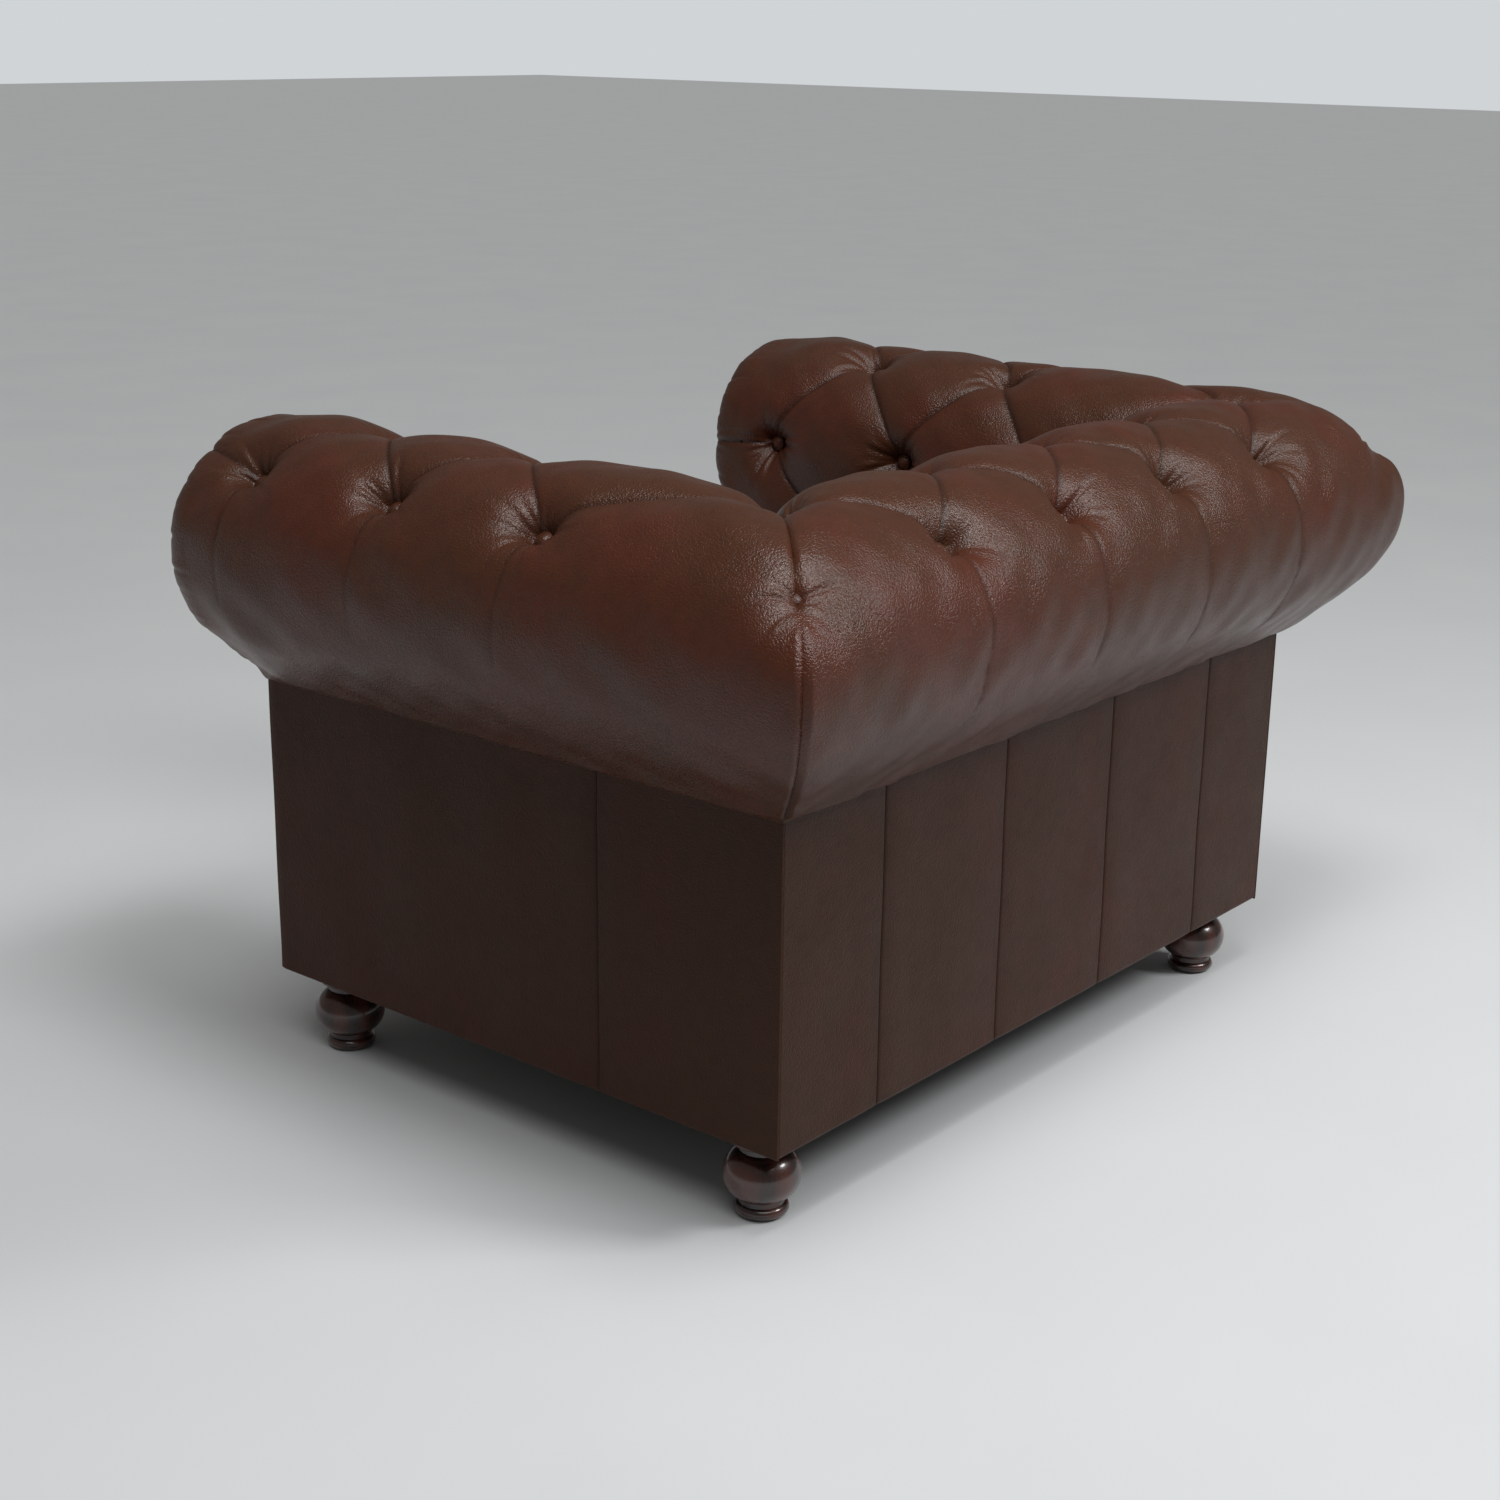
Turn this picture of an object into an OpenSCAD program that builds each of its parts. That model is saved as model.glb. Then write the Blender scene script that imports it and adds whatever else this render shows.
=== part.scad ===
// Rolled-arm, deep-buttoned club armchair, built as its frame, springs, padding, leather and feet.
// Millimetres. +Z is up, the sitter faces -Y, and the origin is on the floor under the middle.

/* [Body] */
// Width of the box-shaped body, outside its leather
body_w = 990; // [900:5:1100]
// Depth of the body, outside its leather
body_d = 762; // [720:2:840]
// Height of the body's underside above the floor
leg_h = 97; // [90:1:110]
// Height of the seat rails above the body's underside
rail_h = 153; // [130:1:170]
// Thickness of the seat rails
rail_t = 28; // [22:1:32]
// Thickness of an outside panel: leather on its wadding
panel_t = 8; // [5:0.5:10]

/* [Arm and back roll] */
// Radius of the padded roll, outside its leather
roll_r = 140; // [130:1:150]
// Height of the roll's axis above the floor
roll_z = 617; // [600:1:640]
// How far the roll's axis lies inside the body's outer face
roll_in = 32; // [20:1:45]
// Thickness of the arm and back below the roll
arm_t = 160; // [145:1:175]
// How far the roll's padded front end stands ahead of the body
roll_front = 34; // [20:1:40]
// Thickness of the leather
leather_t = 3; // [2:0.5:4]

/* [Buttons] */
// Distance between buttons along an arm
arm_pitch = 213.5; // [205:0.5:220]
// Distance between buttons along the back
back_pitch = 208; // [200:1:215]
// Radius of a covered button
button_r = 10.5; // [9:0.5:13]
// Radius of the hole that the padding has under each button
tuft_r = 12; // [11:0.5:15]

/* [Seat] */
// Width of the loose cushion
cushion_w = 640; // [560:5:640]
// Depth of the loose cushion
cushion_d = 596; // [520:2:600]
// Height of the loose cushion
cushion_h = 140; // [110:5:150]
// Number of seat springs
spring_n = 5; // [4:1:6]
// Radius of the spring wire
wire_r = 1.9; // [1.5:0.1:2.5]

/* [Feet] */
// How far a foot's axis lies inside the body's side
foot_in_x = 52; // [50:1:60]
// How far a foot's axis lies inside the body's front or back
foot_in_y = 61; // [58:1:66]
// Radius of a foot's round belly
foot_r = 41.5; // [36:0.5:44]

/* [Hidden] */

$fn = 64;
gap = 0.2;                                     // left between two mitred or sliding faces
bulge = roll_r - roll_in;                      // how far the roll stands outside the body
front_y = (roll_front - bulge - body_d) / 2;   // outside of the body's front
back_y = front_y + body_d;                     // outside of the body's back
side_x = body_w / 2;                           // outside of the body's side
frame_x = side_x - panel_t;                    // outside of the frame
frame_back = back_y - panel_t;
frame_front = front_y + 18;
rail_z = leg_h + 3;                            // underside of the frame
rail_top = leg_h + rail_h;
deck_z = rail_top + 56;                        // top of the seat deck's padding
core_r = roll_r - 36;                          // outside of the curved board in the roll
core_in = arm_t - 61;                          // inside of the frame, from the body's outer face
board_t = 6;                                   // the curved board
scroll_t = 18;                                 // the scroll board behind an arm's front
top_z = roll_z - 57;                           // underside of the top rails
top_rail_t = 25;
tack_z = deck_z + 14;
tack_h = 60;
web_t = 2.4;
panel_top = roll_z - 109;                      // top of an outer panel, behind the roll
web_top = roll_z - 84;                         // top of the webbing straps
arm_post_d = 32;                               // depth of an arm post, front to back
back_post_w = 60;                              // width and depth of a back post
deck_pad_t = 18.5;
hessian_t = 1.5;
cloth_t = 1.5;                                 // deck cloth and dust cover
deck_edge = 2;                                 // left round the deck pad
drop_z = 455;                                  // where the roll's underside meets the outer panel
facing_r = roll_r - 28;
facing_t = 22;
facing_in = 22;                                // facing's edge, inside each edge of the arm's front
facing_board_t = 12;
facing_wrap = 4;
collar_r = facing_r + 1;
collar_major = roll_r - roll_front;
row_a = 46.7;                                  // angles of the button rows round the roll's axis
row_b = 104;
row_c = 174;
row_d_z = 510;                                 // height of the lowest row, on the arm's inner face
row_d_in = 122;                                // its depth, from the body's outer face
corner_places = [[40, 8], [row_b, 2.5]];       // angle on the roll, and height above the boards
arm_first = -355;                              // first button from the front
arm_rows = [arm_first, arm_first + arm_pitch, arm_first + 2 * arm_pitch];
arm_half_rows = [arm_first + arm_pitch / 2, arm_first + 1.5 * arm_pitch];
back_rows = [-1.5 * back_pitch, -back_pitch / 2, back_pitch / 2, 1.5 * back_pitch];
back_half_rows = [-back_pitch, 0, back_pitch];
block_w = 90;
block_h = 50;
bolt_r = 4;
bolt_z = 60;
nut_r = 5.5;
nut_h = 12;
spring_pitch = 34;
spring_crown = 30;
spring_half = 21;                              // half the length of a spring's straight bars
spring_gap = 118;
spring_bars = 20;
spring_y0 = frame_front + rail_t - 8;
clip_w = 24;

// Places a shape made for the left arm, where x is measured from the body's outer side face.
module left() { translate([side_x, 0, 0]) children(); }
module right() { mirror([1, 0, 0]) left() children(); }
// The same shape turned to run along the back.
module rear() { translate([0, back_y, 0]) rotate([0, 0, 90]) children(); }

// A flat outline of x and z carried along y from a to b.
module run(a, b) { translate([0, b, 0]) rotate([90, 0, 0]) linear_extrude(height = b - a) children(); }

// A box from its lowest to its highest corner.
module block(low, high) { translate(low) cube(high - low); }

// Outline of the padded arm, drawn in by inset: inner face, roll, and roll's underside.
module arm_outline(inset) {
    r = roll_r - inset;
    reach = norm([roll_in, drop_z - roll_z]);
    a = atan2(drop_z - roll_z, roll_in) + acos(roll_r / reach);
    drop = drop_z + inset / cos(90 + a);
    translate([-roll_in, roll_z]) circle(r = r, $fn = 96);
    polygon([[-roll_in, roll_z], [0, drop], [r * cos(a) - roll_in, roll_z + r * sin(a)]]);
    translate([inset - arm_t, deck_z]) square([arm_t - 60, roll_z - deck_z]);
}

// Outline of the space that the frame and the curved board take in the arm.
module core_outline() {
    translate([-roll_in, roll_z]) circle(r = core_r, $fn = 96);
    translate([-core_in, leg_h]) square([core_in, roll_z - leg_h]);
}

// Space of an arm as seen from above, up to the mitre where it meets the back.
module arm_space(inset) {
    out = bulge + 20;
    linear_extrude(height = 900) polygon([[-arm_t - 40, front_y], [out, front_y],
        [out, back_y + out - inset], [-arm_t - 40, back_y - arm_t - 40 - inset]]);
}

// Space of the back as seen from above, between its two mitres.
module back_space(inset) {
    out = bulge + 20;
    w = side_x - inset;
    linear_extrude(height = 900) polygon([[-arm_t - 40, -w + arm_t + 40], [out, -w - out],
        [out, w + out], [-arm_t - 40, w - arm_t - 40]]);
}

// Puts its children at a button row's place on the roll, pointing outwards along x.
module on_roll(angle, y) { translate([-roll_in, y, roll_z]) rotate([0, -angle, 0]) children(); }

// Every button place of one run: full rows A and C, half rows B and D.
module tufts(full, half) {
    for (y = full) {
        on_roll(row_a, y) children();
        on_roll(row_c, y) children();
    }
    for (y = half) {
        on_roll(row_b, y) children();
        translate([core_r - row_d_in, y, row_d_z]) rotate([0, 180, 0]) children();
    }
}

// Button places on the left mitre: outside and on the crest. There the curved boards meet in a ridge
// or a valley, so each button faces along the middle of their two directions, a little above them.
module corner_tufts() {
    for (place = corner_places) {
        a = place[0];
        translate([side_x - roll_in, back_y - roll_in, roll_z]) rotate([0, 0, 45])
            translate([core_r * sqrt(2) * cos(a), 0, core_r * sin(a)])
            rotate([0, -atan2(sqrt(2) * sin(a), cos(a)), 0]) translate([place[1] - core_r, 0, 0])
                children();
    }
}

module tuft_hole() {
    translate([core_r - 25, 0, 0]) rotate([0, 90, 0]) cylinder(r = tuft_r, h = 120, $fn = 32);
}

module button() {
    dome = 18;
    translate([core_r + 0.3, 0, 0]) rotate([0, 90, 0]) {
        cylinder(r = button_r, h = 3);
        intersection() {
            translate([0, 0, 7 - dome]) sphere(r = dome);
            cylinder(r = button_r, h = 8);
        }
    }
}

// The hole and button of a corner lie on the mitre, so they are set in the whole chair's frame.
module corner_holes() {
    for (m = [0, 1]) mirror([m, 0, 0]) corner_tufts() tuft_cut();
}

module tuft_cut() {
    translate([core_r + 0.1, 0, 0]) rotate([0, 90, 0]) cylinder(r = tuft_r, h = 160, $fn = 32);
}

// Padded front end of an arm's roll, a ring of rounded section, drawn in by inset.
module collar(inset) {
    translate([-roll_in, front_y, roll_z]) rotate([90, 0, 0]) rotate_extrude($fn = 96)
        intersection() {
            translate([collar_major, 0]) circle(r = roll_front - inset);
            translate([collar_r, 0]) square([60, 60]);
        }
}

// Full-height space of a scroll facing, which the collar stays out of.
module facing_outline(inset) {
    translate([-roll_in, roll_z]) circle(r = facing_r - inset, $fn = 96);
    translate([-arm_t + facing_in + inset, leg_h + inset])
        square([arm_t - 2 * (facing_in + inset), roll_z - leg_h]);
}

module facing_slot() {
    block([-arm_t + facing_in - 1, front_y - 60, 0], [1 - facing_in, front_y + 0.01, roll_z]);
}

// Frame

module front_seat_rail() {
    color("burlywood") block([-frame_x + rail_t, frame_front, rail_z],
        [frame_x - rail_t, frame_front + rail_t, rail_top]);
}

module back_seat_rail() {
    color("burlywood") block([-frame_x + rail_t, frame_back - rail_t, rail_z],
        [frame_x - rail_t, frame_back, rail_top]);
}

module side_seat_rail() {
    color("burlywood") block([-panel_t - rail_t, frame_front, rail_z], [-panel_t, frame_back, rail_top]);
}

// Puts its children on the axis of each foot.
module at_feet() {
    for (x = [-1, 1], y = [front_y + foot_in_y, back_y - foot_in_y])
        translate([x * (side_x - foot_in_x), y, 0]) children();
}

module corner_blocks() {
    x = frame_x - rail_t;
    color("tan") difference() {
        for (m = [0, 1]) mirror([m, 0, 0]) {
            block([x - block_w, frame_front + rail_t, rail_z],
                [x, frame_front + rail_t + block_w, rail_z + block_h]);
            block([x - block_w, frame_back - rail_t - block_w, rail_z],
                [x, frame_back - rail_t, rail_z + block_h]);
        }
        at_feet() {
            translate([0, 0, rail_z - 1]) cylinder(r = bolt_r + 0.3, h = block_h + 2);
            translate([0, 0, rail_z + block_h - nut_h]) cylinder(r = nut_r + 0.05, h = nut_h + 1);
        }
    }
}

module arm_post() {
    color("burlywood") block([-core_in + web_t + 0.6, frame_front, rail_top], [-panel_t,
        frame_front + arm_post_d, top_z]);
}

module back_post() {
    color("burlywood") block([-panel_t - back_post_w, frame_back - back_post_w, rail_top],
        [-panel_t, frame_back, top_z]);
}

module arm_tack_rail() {
    x = -core_in + web_t + 0.6;
    color("burlywood") block([x, frame_front + arm_post_d, tack_z], [x + rail_t, back_y + x,
        tack_z + tack_h]);
}

module back_tack_rail() {
    y = back_y - core_in + web_t + 0.6;
    color("burlywood") block([-frame_x, y, tack_z], [frame_x, frame_back - back_post_w, tack_z + tack_h]);
}

module arm_top_rail() {
    color("burlywood") block([-core_in + web_t + 0.6, frame_front, top_z], [-panel_t, frame_back,
        top_z + top_rail_t]);
}

module back_top_rail() {
    x = side_x - core_in + web_t + 0.6;
    color("burlywood") block([-x, back_y - core_in + web_t + 0.6, top_z], [x, frame_back,
        top_z + top_rail_t]);
}

module scroll_board() {
    color("tan") run(front_y, front_y + scroll_t) {
        translate([-roll_in, roll_z]) circle(r = core_r - board_t, $fn = 96);
        translate([-core_in + web_t + 0.6, rail_z]) square([core_in - web_t - 0.6 - panel_t,
            roll_z - rail_z]);
    }
}

// Half discs that hold the curved board above a top rail.
module former(y) {
    color("tan") run(y, y + scroll_t) intersection() {
        translate([-roll_in, roll_z]) circle(r = core_r - board_t, $fn = 96);
        translate([-200, top_z + top_rail_t]) square([400, 200]);
    }
}

module roll_formers() {
    for (y = [-140, 150]) {
        left() former(y);
        right() former(y);
        rear() former(y);
    }
}

module board_outline() {
    difference() {
        translate([-roll_in, roll_z]) circle(r = core_r, $fn = 96);
        translate([-roll_in, roll_z]) circle(r = core_r - board_t, $fn = 96);
        translate([-core_in, leg_h]) square([core_in, roll_z - leg_h]);
    }
}

module roll_board_arm() {
    color("tan") intersection() {
        run(front_y, back_y + 200) board_outline();
        arm_space(gap);
    }
}

module roll_board_back() {
    color("tan") rear() intersection() {
        run(-side_x - 200, side_x + 200) board_outline();
        back_space(0);
    }
}

// Springs and webbing

module web_strap(y) {
    color("darkkhaki") block([-core_in + 0.3, y - 25, tack_z + 2], [-core_in + 0.3 + web_t, y + 25,
        web_top]);
}

module arm_webbing() { for (i = [0:5]) web_strap(frame_front + 70 + 100 * i); }

module back_webbing() { rear() for (i = [-3:3]) web_strap(100 * i); }

// Centre line of one sinuous spring: straight bars joined by half circles, arched along y.
function spring_point(x, y) = [x, y, rail_top + 1.7 + wire_r
    + spring_crown * (1 - pow(2 * (y - spring_y0) / (spring_bars * spring_pitch) - 1, 2))];
function spring_path() = [for (k = [0:spring_bars - 1], a = [-90, -30, 30, 90])
    let (side = k % 2 == 0 ? 1 : -1)
    spring_point(side * (spring_half + spring_pitch / 2 * cos(a)),
        spring_y0 + spring_pitch * (k + 0.5 + sin(a) / 2))];
spring_wire = spring_path();

// Six-sided wire swept along a path: each ring stands square to the path, close to level.
module wire(path, r) {
    sides = 6;
    n = len(path);
    rings = [for (i = [0:n - 1])
        let (along = path[min(i + 1, n - 1)] - path[max(i - 1, 0)],
            across = cross([0, 0, 1], along) / norm(cross([0, 0, 1], along)),
            up = cross(along, across) / norm(along))
        for (s = [0:sides - 1]) path[i] + r * (cos(60 * s) * across + sin(60 * s) * up)];
    walls = [for (i = [0:n - 2], s = [0:sides - 1])
        [i * sides + s, i * sides + (s + 1) % sides,
            (i + 1) * sides + (s + 1) % sides, (i + 1) * sides + s]];
    caps = [[for (s = [sides - 1:-1:0]) s], [for (s = [0:sides - 1]) (n - 1) * sides + s]];
    polyhedron(points = rings, faces = concat(walls, caps));
}

module seat_springs() {
    color("slategray") for (i = [0:spring_n - 1])
        translate([(i - (spring_n - 1) / 2) * spring_gap, 0, 0]) wire(spring_wire, wire_r);
}

// A folded steel clip that holds a spring's last bar down on its rail.
module spring_clip() {
    color("silver") rotate([90, 0, 90]) translate([0, 0, -clip_w / 2]) linear_extrude(height = clip_w) {
        translate([-14, 0]) square([22, 1.4]);
        translate([8, 0]) square([1.4, 6.6]);
        translate([-8, 6.6]) square([17.4, 1.4]);
    }
}

module spring_clips() {
    back_end = spring_y0 + spring_pitch * spring_bars;
    for (i = [0:spring_n - 1]) translate([(i - (spring_n - 1) / 2) * spring_gap, 0, rail_top]) {
        translate([spring_half - 12, spring_y0 + 1.2, 0]) mirror([0, 1, 0]) spring_clip();
        translate([(spring_bars % 2 == 0 ? -1 : 1) * -(spring_half - 12), back_end - 1.2, 0])
            spring_clip();
    }
}

module deck_sheet(low, high, edge) {
    x = side_x - core_in;
    block([-x + edge, frame_front + edge, low], [x - edge, back_y - core_in - edge, high]);
}

module seat_hessian() { color("peru") deck_sheet(deck_z - deck_pad_t - hessian_t,
    deck_z - deck_pad_t, deck_edge); }

module deck_pad() { color("ivory") deck_sheet(deck_z - deck_pad_t, deck_z, deck_edge); }

module deck_cloth() {
    x = side_x - arm_t - 0.5;
    color("dimgray") block([-x, front_y + 8, deck_z], [x, back_y - arm_t - 0.5, deck_z + cloth_t]);
}

module dust_cover() {
    color("dimgray") difference() {
        block([-frame_x, frame_front, rail_z - cloth_t], [frame_x, frame_back, rail_z]);
        at_feet() translate([0, 0, rail_z - 3]) cylinder(r = bolt_r + 0.5, h = 6);
    }
}

// Padding and leather

module padding_outline() {
    difference() {
        arm_outline(leather_t);
        core_outline();
    }
}

module leather_outline() {
    difference() {
        arm_outline(0);
        arm_outline(leather_t);
        translate([-core_in, leg_h]) square([core_in, roll_z - leg_h]);
    }
}

// One arm's layer: the outline carried to the mitre, its collar, and its button holes.
module arm_layer(collar_out, collar_in) {
    difference() {
        union() {
            intersection() {
                run(front_y, back_y + 200) children();
                arm_space(gap);
            }
            difference() {
                collar(collar_out);
                if (collar_in > 0) collar(collar_in);
                facing_slot();
            }
        }
        tufts(arm_rows, arm_half_rows) tuft_hole();
        translate([-side_x, 0, 0]) corner_tufts() tuft_cut();
    }
}

module arm_padding() { color("ivory") arm_layer(leather_t, 0) padding_outline(); }

module arm_leather() {
    color("saddlebrown") {
        arm_layer(0, leather_t) leather_outline();
        run(front_y - leather_t, front_y) difference() {
            translate([-arm_t, deck_z]) square([facing_in - 1, roll_z - deck_z]);
            translate([-roll_in, roll_z]) circle(r = roll_r + 1, $fn = 96);
        }
    }
}

module back_layer() {
    difference() {
        rear() difference() {
            intersection() {
                run(-side_x - 200, side_x + 200) children();
                back_space(0);
            }
            tufts(back_rows, back_half_rows) tuft_hole();
        }
        corner_holes();
    }
}

module back_padding() { color("ivory") back_layer() padding_outline(); }

module back_leather() { color("saddlebrown") back_layer() leather_outline(); }

module arm_buttons() { color("sienna") tufts(arm_rows, arm_half_rows) button(); }

module back_buttons() {
    color("sienna") {
        rear() tufts(back_rows, back_half_rows) button();
        for (m = [0, 1]) mirror([m, 0, 0]) corner_tufts() button();
    }
}

module outer_panel_side() {
    color("saddlebrown") {
        block([-panel_t, front_y, leg_h], [0, back_y, panel_top]);
        run(front_y - leather_t, front_y) difference() {
            translate([1 - facing_in, leg_h]) square([facing_in - 1, roll_z - leg_h]);
            translate([-roll_in, roll_z]) circle(r = roll_r, $fn = 96);
        }
    }
}

module outer_panel_back() {
    color("saddlebrown") block([-frame_x, frame_back, leg_h], [frame_x, back_y, panel_top]);
}

module front_border() {
    x = side_x - core_in;
    color("saddlebrown") block([-x, front_y + 8, leg_h], [x, frame_front, deck_z]);
}

module scroll_facing_board() {
    color("tan") run(front_y - facing_board_t, front_y) facing_outline(facing_wrap);
}

module scroll_facing() {
    color("saddlebrown") difference() {
        run(front_y - facing_t, front_y) facing_outline(0);
        run(front_y - facing_board_t, front_y + 1) facing_outline(facing_wrap);
    }
}

// Loose cushion

cushion_front = back_y - arm_t - 18 - cushion_d;
cushion_z = deck_z + 2;
cushion_corner = 32;

// A cushion-shaped block with round upright corners, drawn in by inset.
module cushion_block(inset) {
    w = cushion_w / 2 - inset;
    r = cushion_corner - inset;
    translate([0, cushion_front, cushion_z + inset]) linear_extrude(height = cushion_h - 2 * inset) {
        for (x = [-w + r, w - r], y = [inset + r, cushion_d - inset - r]) translate([x, y]) circle(r = r);
        translate([-w + r, inset]) square([2 * (w - r), cushion_d - 2 * inset]);
        translate([-w, inset + r]) square([2 * w, cushion_d - 2 * (inset + r)]);
    }
}

module cushion_foam() { color("ivory") cushion_block(leather_t); }

module cushion_cover() {
    color("saddlebrown") difference() {
        cushion_block(0);
        cushion_block(leather_t);
    }
}

module cushion_zip() {
    zip_w = cushion_w - 120;
    y = cushion_front + cushion_d;
    color("black") {
        block([-zip_w / 2, y, cushion_z + cushion_h / 2 - 14], [zip_w / 2, y + 1,
            cushion_z + cushion_h / 2 + 14]);
        block([-zip_w / 2, y + 1, cushion_z + cushion_h / 2 - 3], [zip_w / 2, y + 3,
            cushion_z + cushion_h / 2 + 3]);
    }
}

// Feet

glide_r = 13;
glide_h = 5;
foot_z = 2;
foot_top = rail_z - cloth_t;

// A turned bun foot: round ring at the floor, groove, belly, neck, and collar under the frame.
module foot(x, y) {
    belly = 30;
    ring = 6.5;
    color("maroon") translate([x * (side_x - foot_in_x), y, 0]) difference() {
        rotate_extrude($fn = 96) intersection() {
            square([60, foot_top]);
            union() {
                square([24.5, foot_top]);
                translate([0, foot_z]) square([29 - ring, 2 * ring]);
                translate([29 - ring, foot_z + ring]) circle(r = ring);
                translate([foot_r - belly, 47]) circle(r = belly);
                translate([0, foot_top - 16]) square([30, 8]);
                translate([30, foot_top - 12]) circle(r = 4);
                translate([0, foot_top - 6]) square([33, 6]);
            }
        }
        translate([0, 0, -1]) cylinder(r = glide_r + 0.1, h = glide_h + 1);
        translate([0, 0, -1]) cylinder(r = 60, h = foot_z + 1);
        translate([0, 0, bolt_z - 0.5]) cylinder(r = bolt_r + 0.05, h = 60);
    }
}

module hanger_bolts() { color("silver") at_feet() translate([0, 0, bolt_z]) cylinder(r = bolt_r,
    h = 88); }

module tee_nuts() {
    top = rail_z + block_h;
    color("silver") at_feet() difference() {
        union() {
            translate([0, 0, top - nut_h]) cylinder(r = nut_r, h = nut_h);
            translate([0, 0, top]) cylinder(r = 11, h = 1.5);
        }
        translate([0, 0, top - nut_h - 1]) cylinder(r = bolt_r + 0.05, h = nut_h + 4);
    }
}

module foot_glides() { color("gray") at_feet() cylinder(r = glide_r, h = glide_h); }

front_seat_rail();
back_seat_rail();
left() side_seat_rail();  // side_seat_rail_left
right() side_seat_rail();  // side_seat_rail_right
corner_blocks();
left() arm_post();  // arm_post_left
right() arm_post();  // arm_post_right
left() back_post();  // back_post_left
right() back_post();  // back_post_right
left() arm_tack_rail();  // arm_tack_rail_left
right() arm_tack_rail();  // arm_tack_rail_right
back_tack_rail();
left() arm_top_rail();  // arm_top_rail_left
right() arm_top_rail();  // arm_top_rail_right
back_top_rail();
left() scroll_board();  // scroll_board_left
right() scroll_board();  // scroll_board_right
roll_formers();
left() roll_board_arm();  // roll_board_left
right() roll_board_arm();  // roll_board_right
roll_board_back();
left() arm_webbing();  // arm_webbing_left
right() arm_webbing();  // arm_webbing_right
back_webbing();
seat_springs();
spring_clips();
seat_hessian();
deck_pad();
deck_cloth();
dust_cover();
left() arm_padding();  // arm_padding_left
right() arm_padding();  // arm_padding_right
back_padding();
left() arm_leather();  // arm_leather_left
right() arm_leather();  // arm_leather_right
back_leather();
left() arm_buttons();  // arm_buttons_left
right() arm_buttons();  // arm_buttons_right
back_buttons();
left() outer_panel_side();  // outer_panel_left
right() outer_panel_side();  // outer_panel_right
outer_panel_back();
front_border();
left() scroll_facing_board();  // scroll_facing_board_left
right() scroll_facing_board();  // scroll_facing_board_right
left() scroll_facing();  // scroll_facing_left
right() scroll_facing();  // scroll_facing_right
cushion_foam();
cushion_cover();
cushion_zip();
foot(1, front_y + foot_in_y);  // foot_front_left
foot(-1, front_y + foot_in_y);  // foot_front_right
foot(1, back_y - foot_in_y);  // foot_back_left
foot(-1, back_y - foot_in_y);  // foot_back_right
hanger_bolts();
tee_nuts();
foot_glides();
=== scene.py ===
# %% [markdown]
# # A deep-buttoned leather club armchair
#
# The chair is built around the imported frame: rails, springs, bolts and feet come from there at their real
# size. This script adds what a frame can't have, which is stretched, buttoned and sewn leather, and gives
# every piece its finish. All lengths are metres, +Z is up and the sitter faces -Y.

# %% Load the frame
import math

import bmesh
import bpy
import numpy as np
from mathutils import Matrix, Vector


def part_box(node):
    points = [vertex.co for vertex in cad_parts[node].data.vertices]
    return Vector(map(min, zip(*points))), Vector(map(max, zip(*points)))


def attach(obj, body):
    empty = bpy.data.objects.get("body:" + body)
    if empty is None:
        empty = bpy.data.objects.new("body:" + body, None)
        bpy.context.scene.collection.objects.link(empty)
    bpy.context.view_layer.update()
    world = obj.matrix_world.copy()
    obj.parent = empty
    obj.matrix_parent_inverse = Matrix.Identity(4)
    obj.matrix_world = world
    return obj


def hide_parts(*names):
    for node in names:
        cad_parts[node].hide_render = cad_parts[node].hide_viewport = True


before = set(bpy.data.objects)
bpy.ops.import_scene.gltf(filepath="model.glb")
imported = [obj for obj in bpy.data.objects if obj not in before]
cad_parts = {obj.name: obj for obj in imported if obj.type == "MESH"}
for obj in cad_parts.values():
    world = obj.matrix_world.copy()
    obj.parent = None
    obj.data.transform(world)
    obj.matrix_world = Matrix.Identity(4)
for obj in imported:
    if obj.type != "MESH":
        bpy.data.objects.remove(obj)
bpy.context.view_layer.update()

MM = 0.001

# %% [markdown]
# ## Where the chair's faces are
#
# Driving sizes come from the frame's own pieces, so a change there moves everything here. Only what the
# frame's plain solids can't tell, such as the rows of buttons, is written as a number.

# %% Sizes read from the frame
side_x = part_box("outer_panel_left")[1].x
back_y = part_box("outer_panel_back")[1].y
front_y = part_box("scroll_facing_left")[1].y
body_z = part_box("outer_panel_back")[0].z
deck_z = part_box("deck_pad")[1].z
roll_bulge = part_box("arm_leather_left")[1].x - side_x
crest_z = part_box("arm_leather_left")[1].z
arm_t = side_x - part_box("arm_leather_left")[0].x
roll_r = 140 * MM
roll_w = roll_bulge - roll_r
roll_z = crest_z - roll_r
drop_z = 455 * MM
print(f"body {2 * side_x:.3f} m wide, roll radius {roll_r:.3f} m, crest {crest_z:.3f} m high")

# %% [markdown]
# ## The camera
#
# It stands behind the chair's back left corner, a little above eye height for a sitter, and looks down over
# the roll. It comes first because every piece is judged from it.

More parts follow.
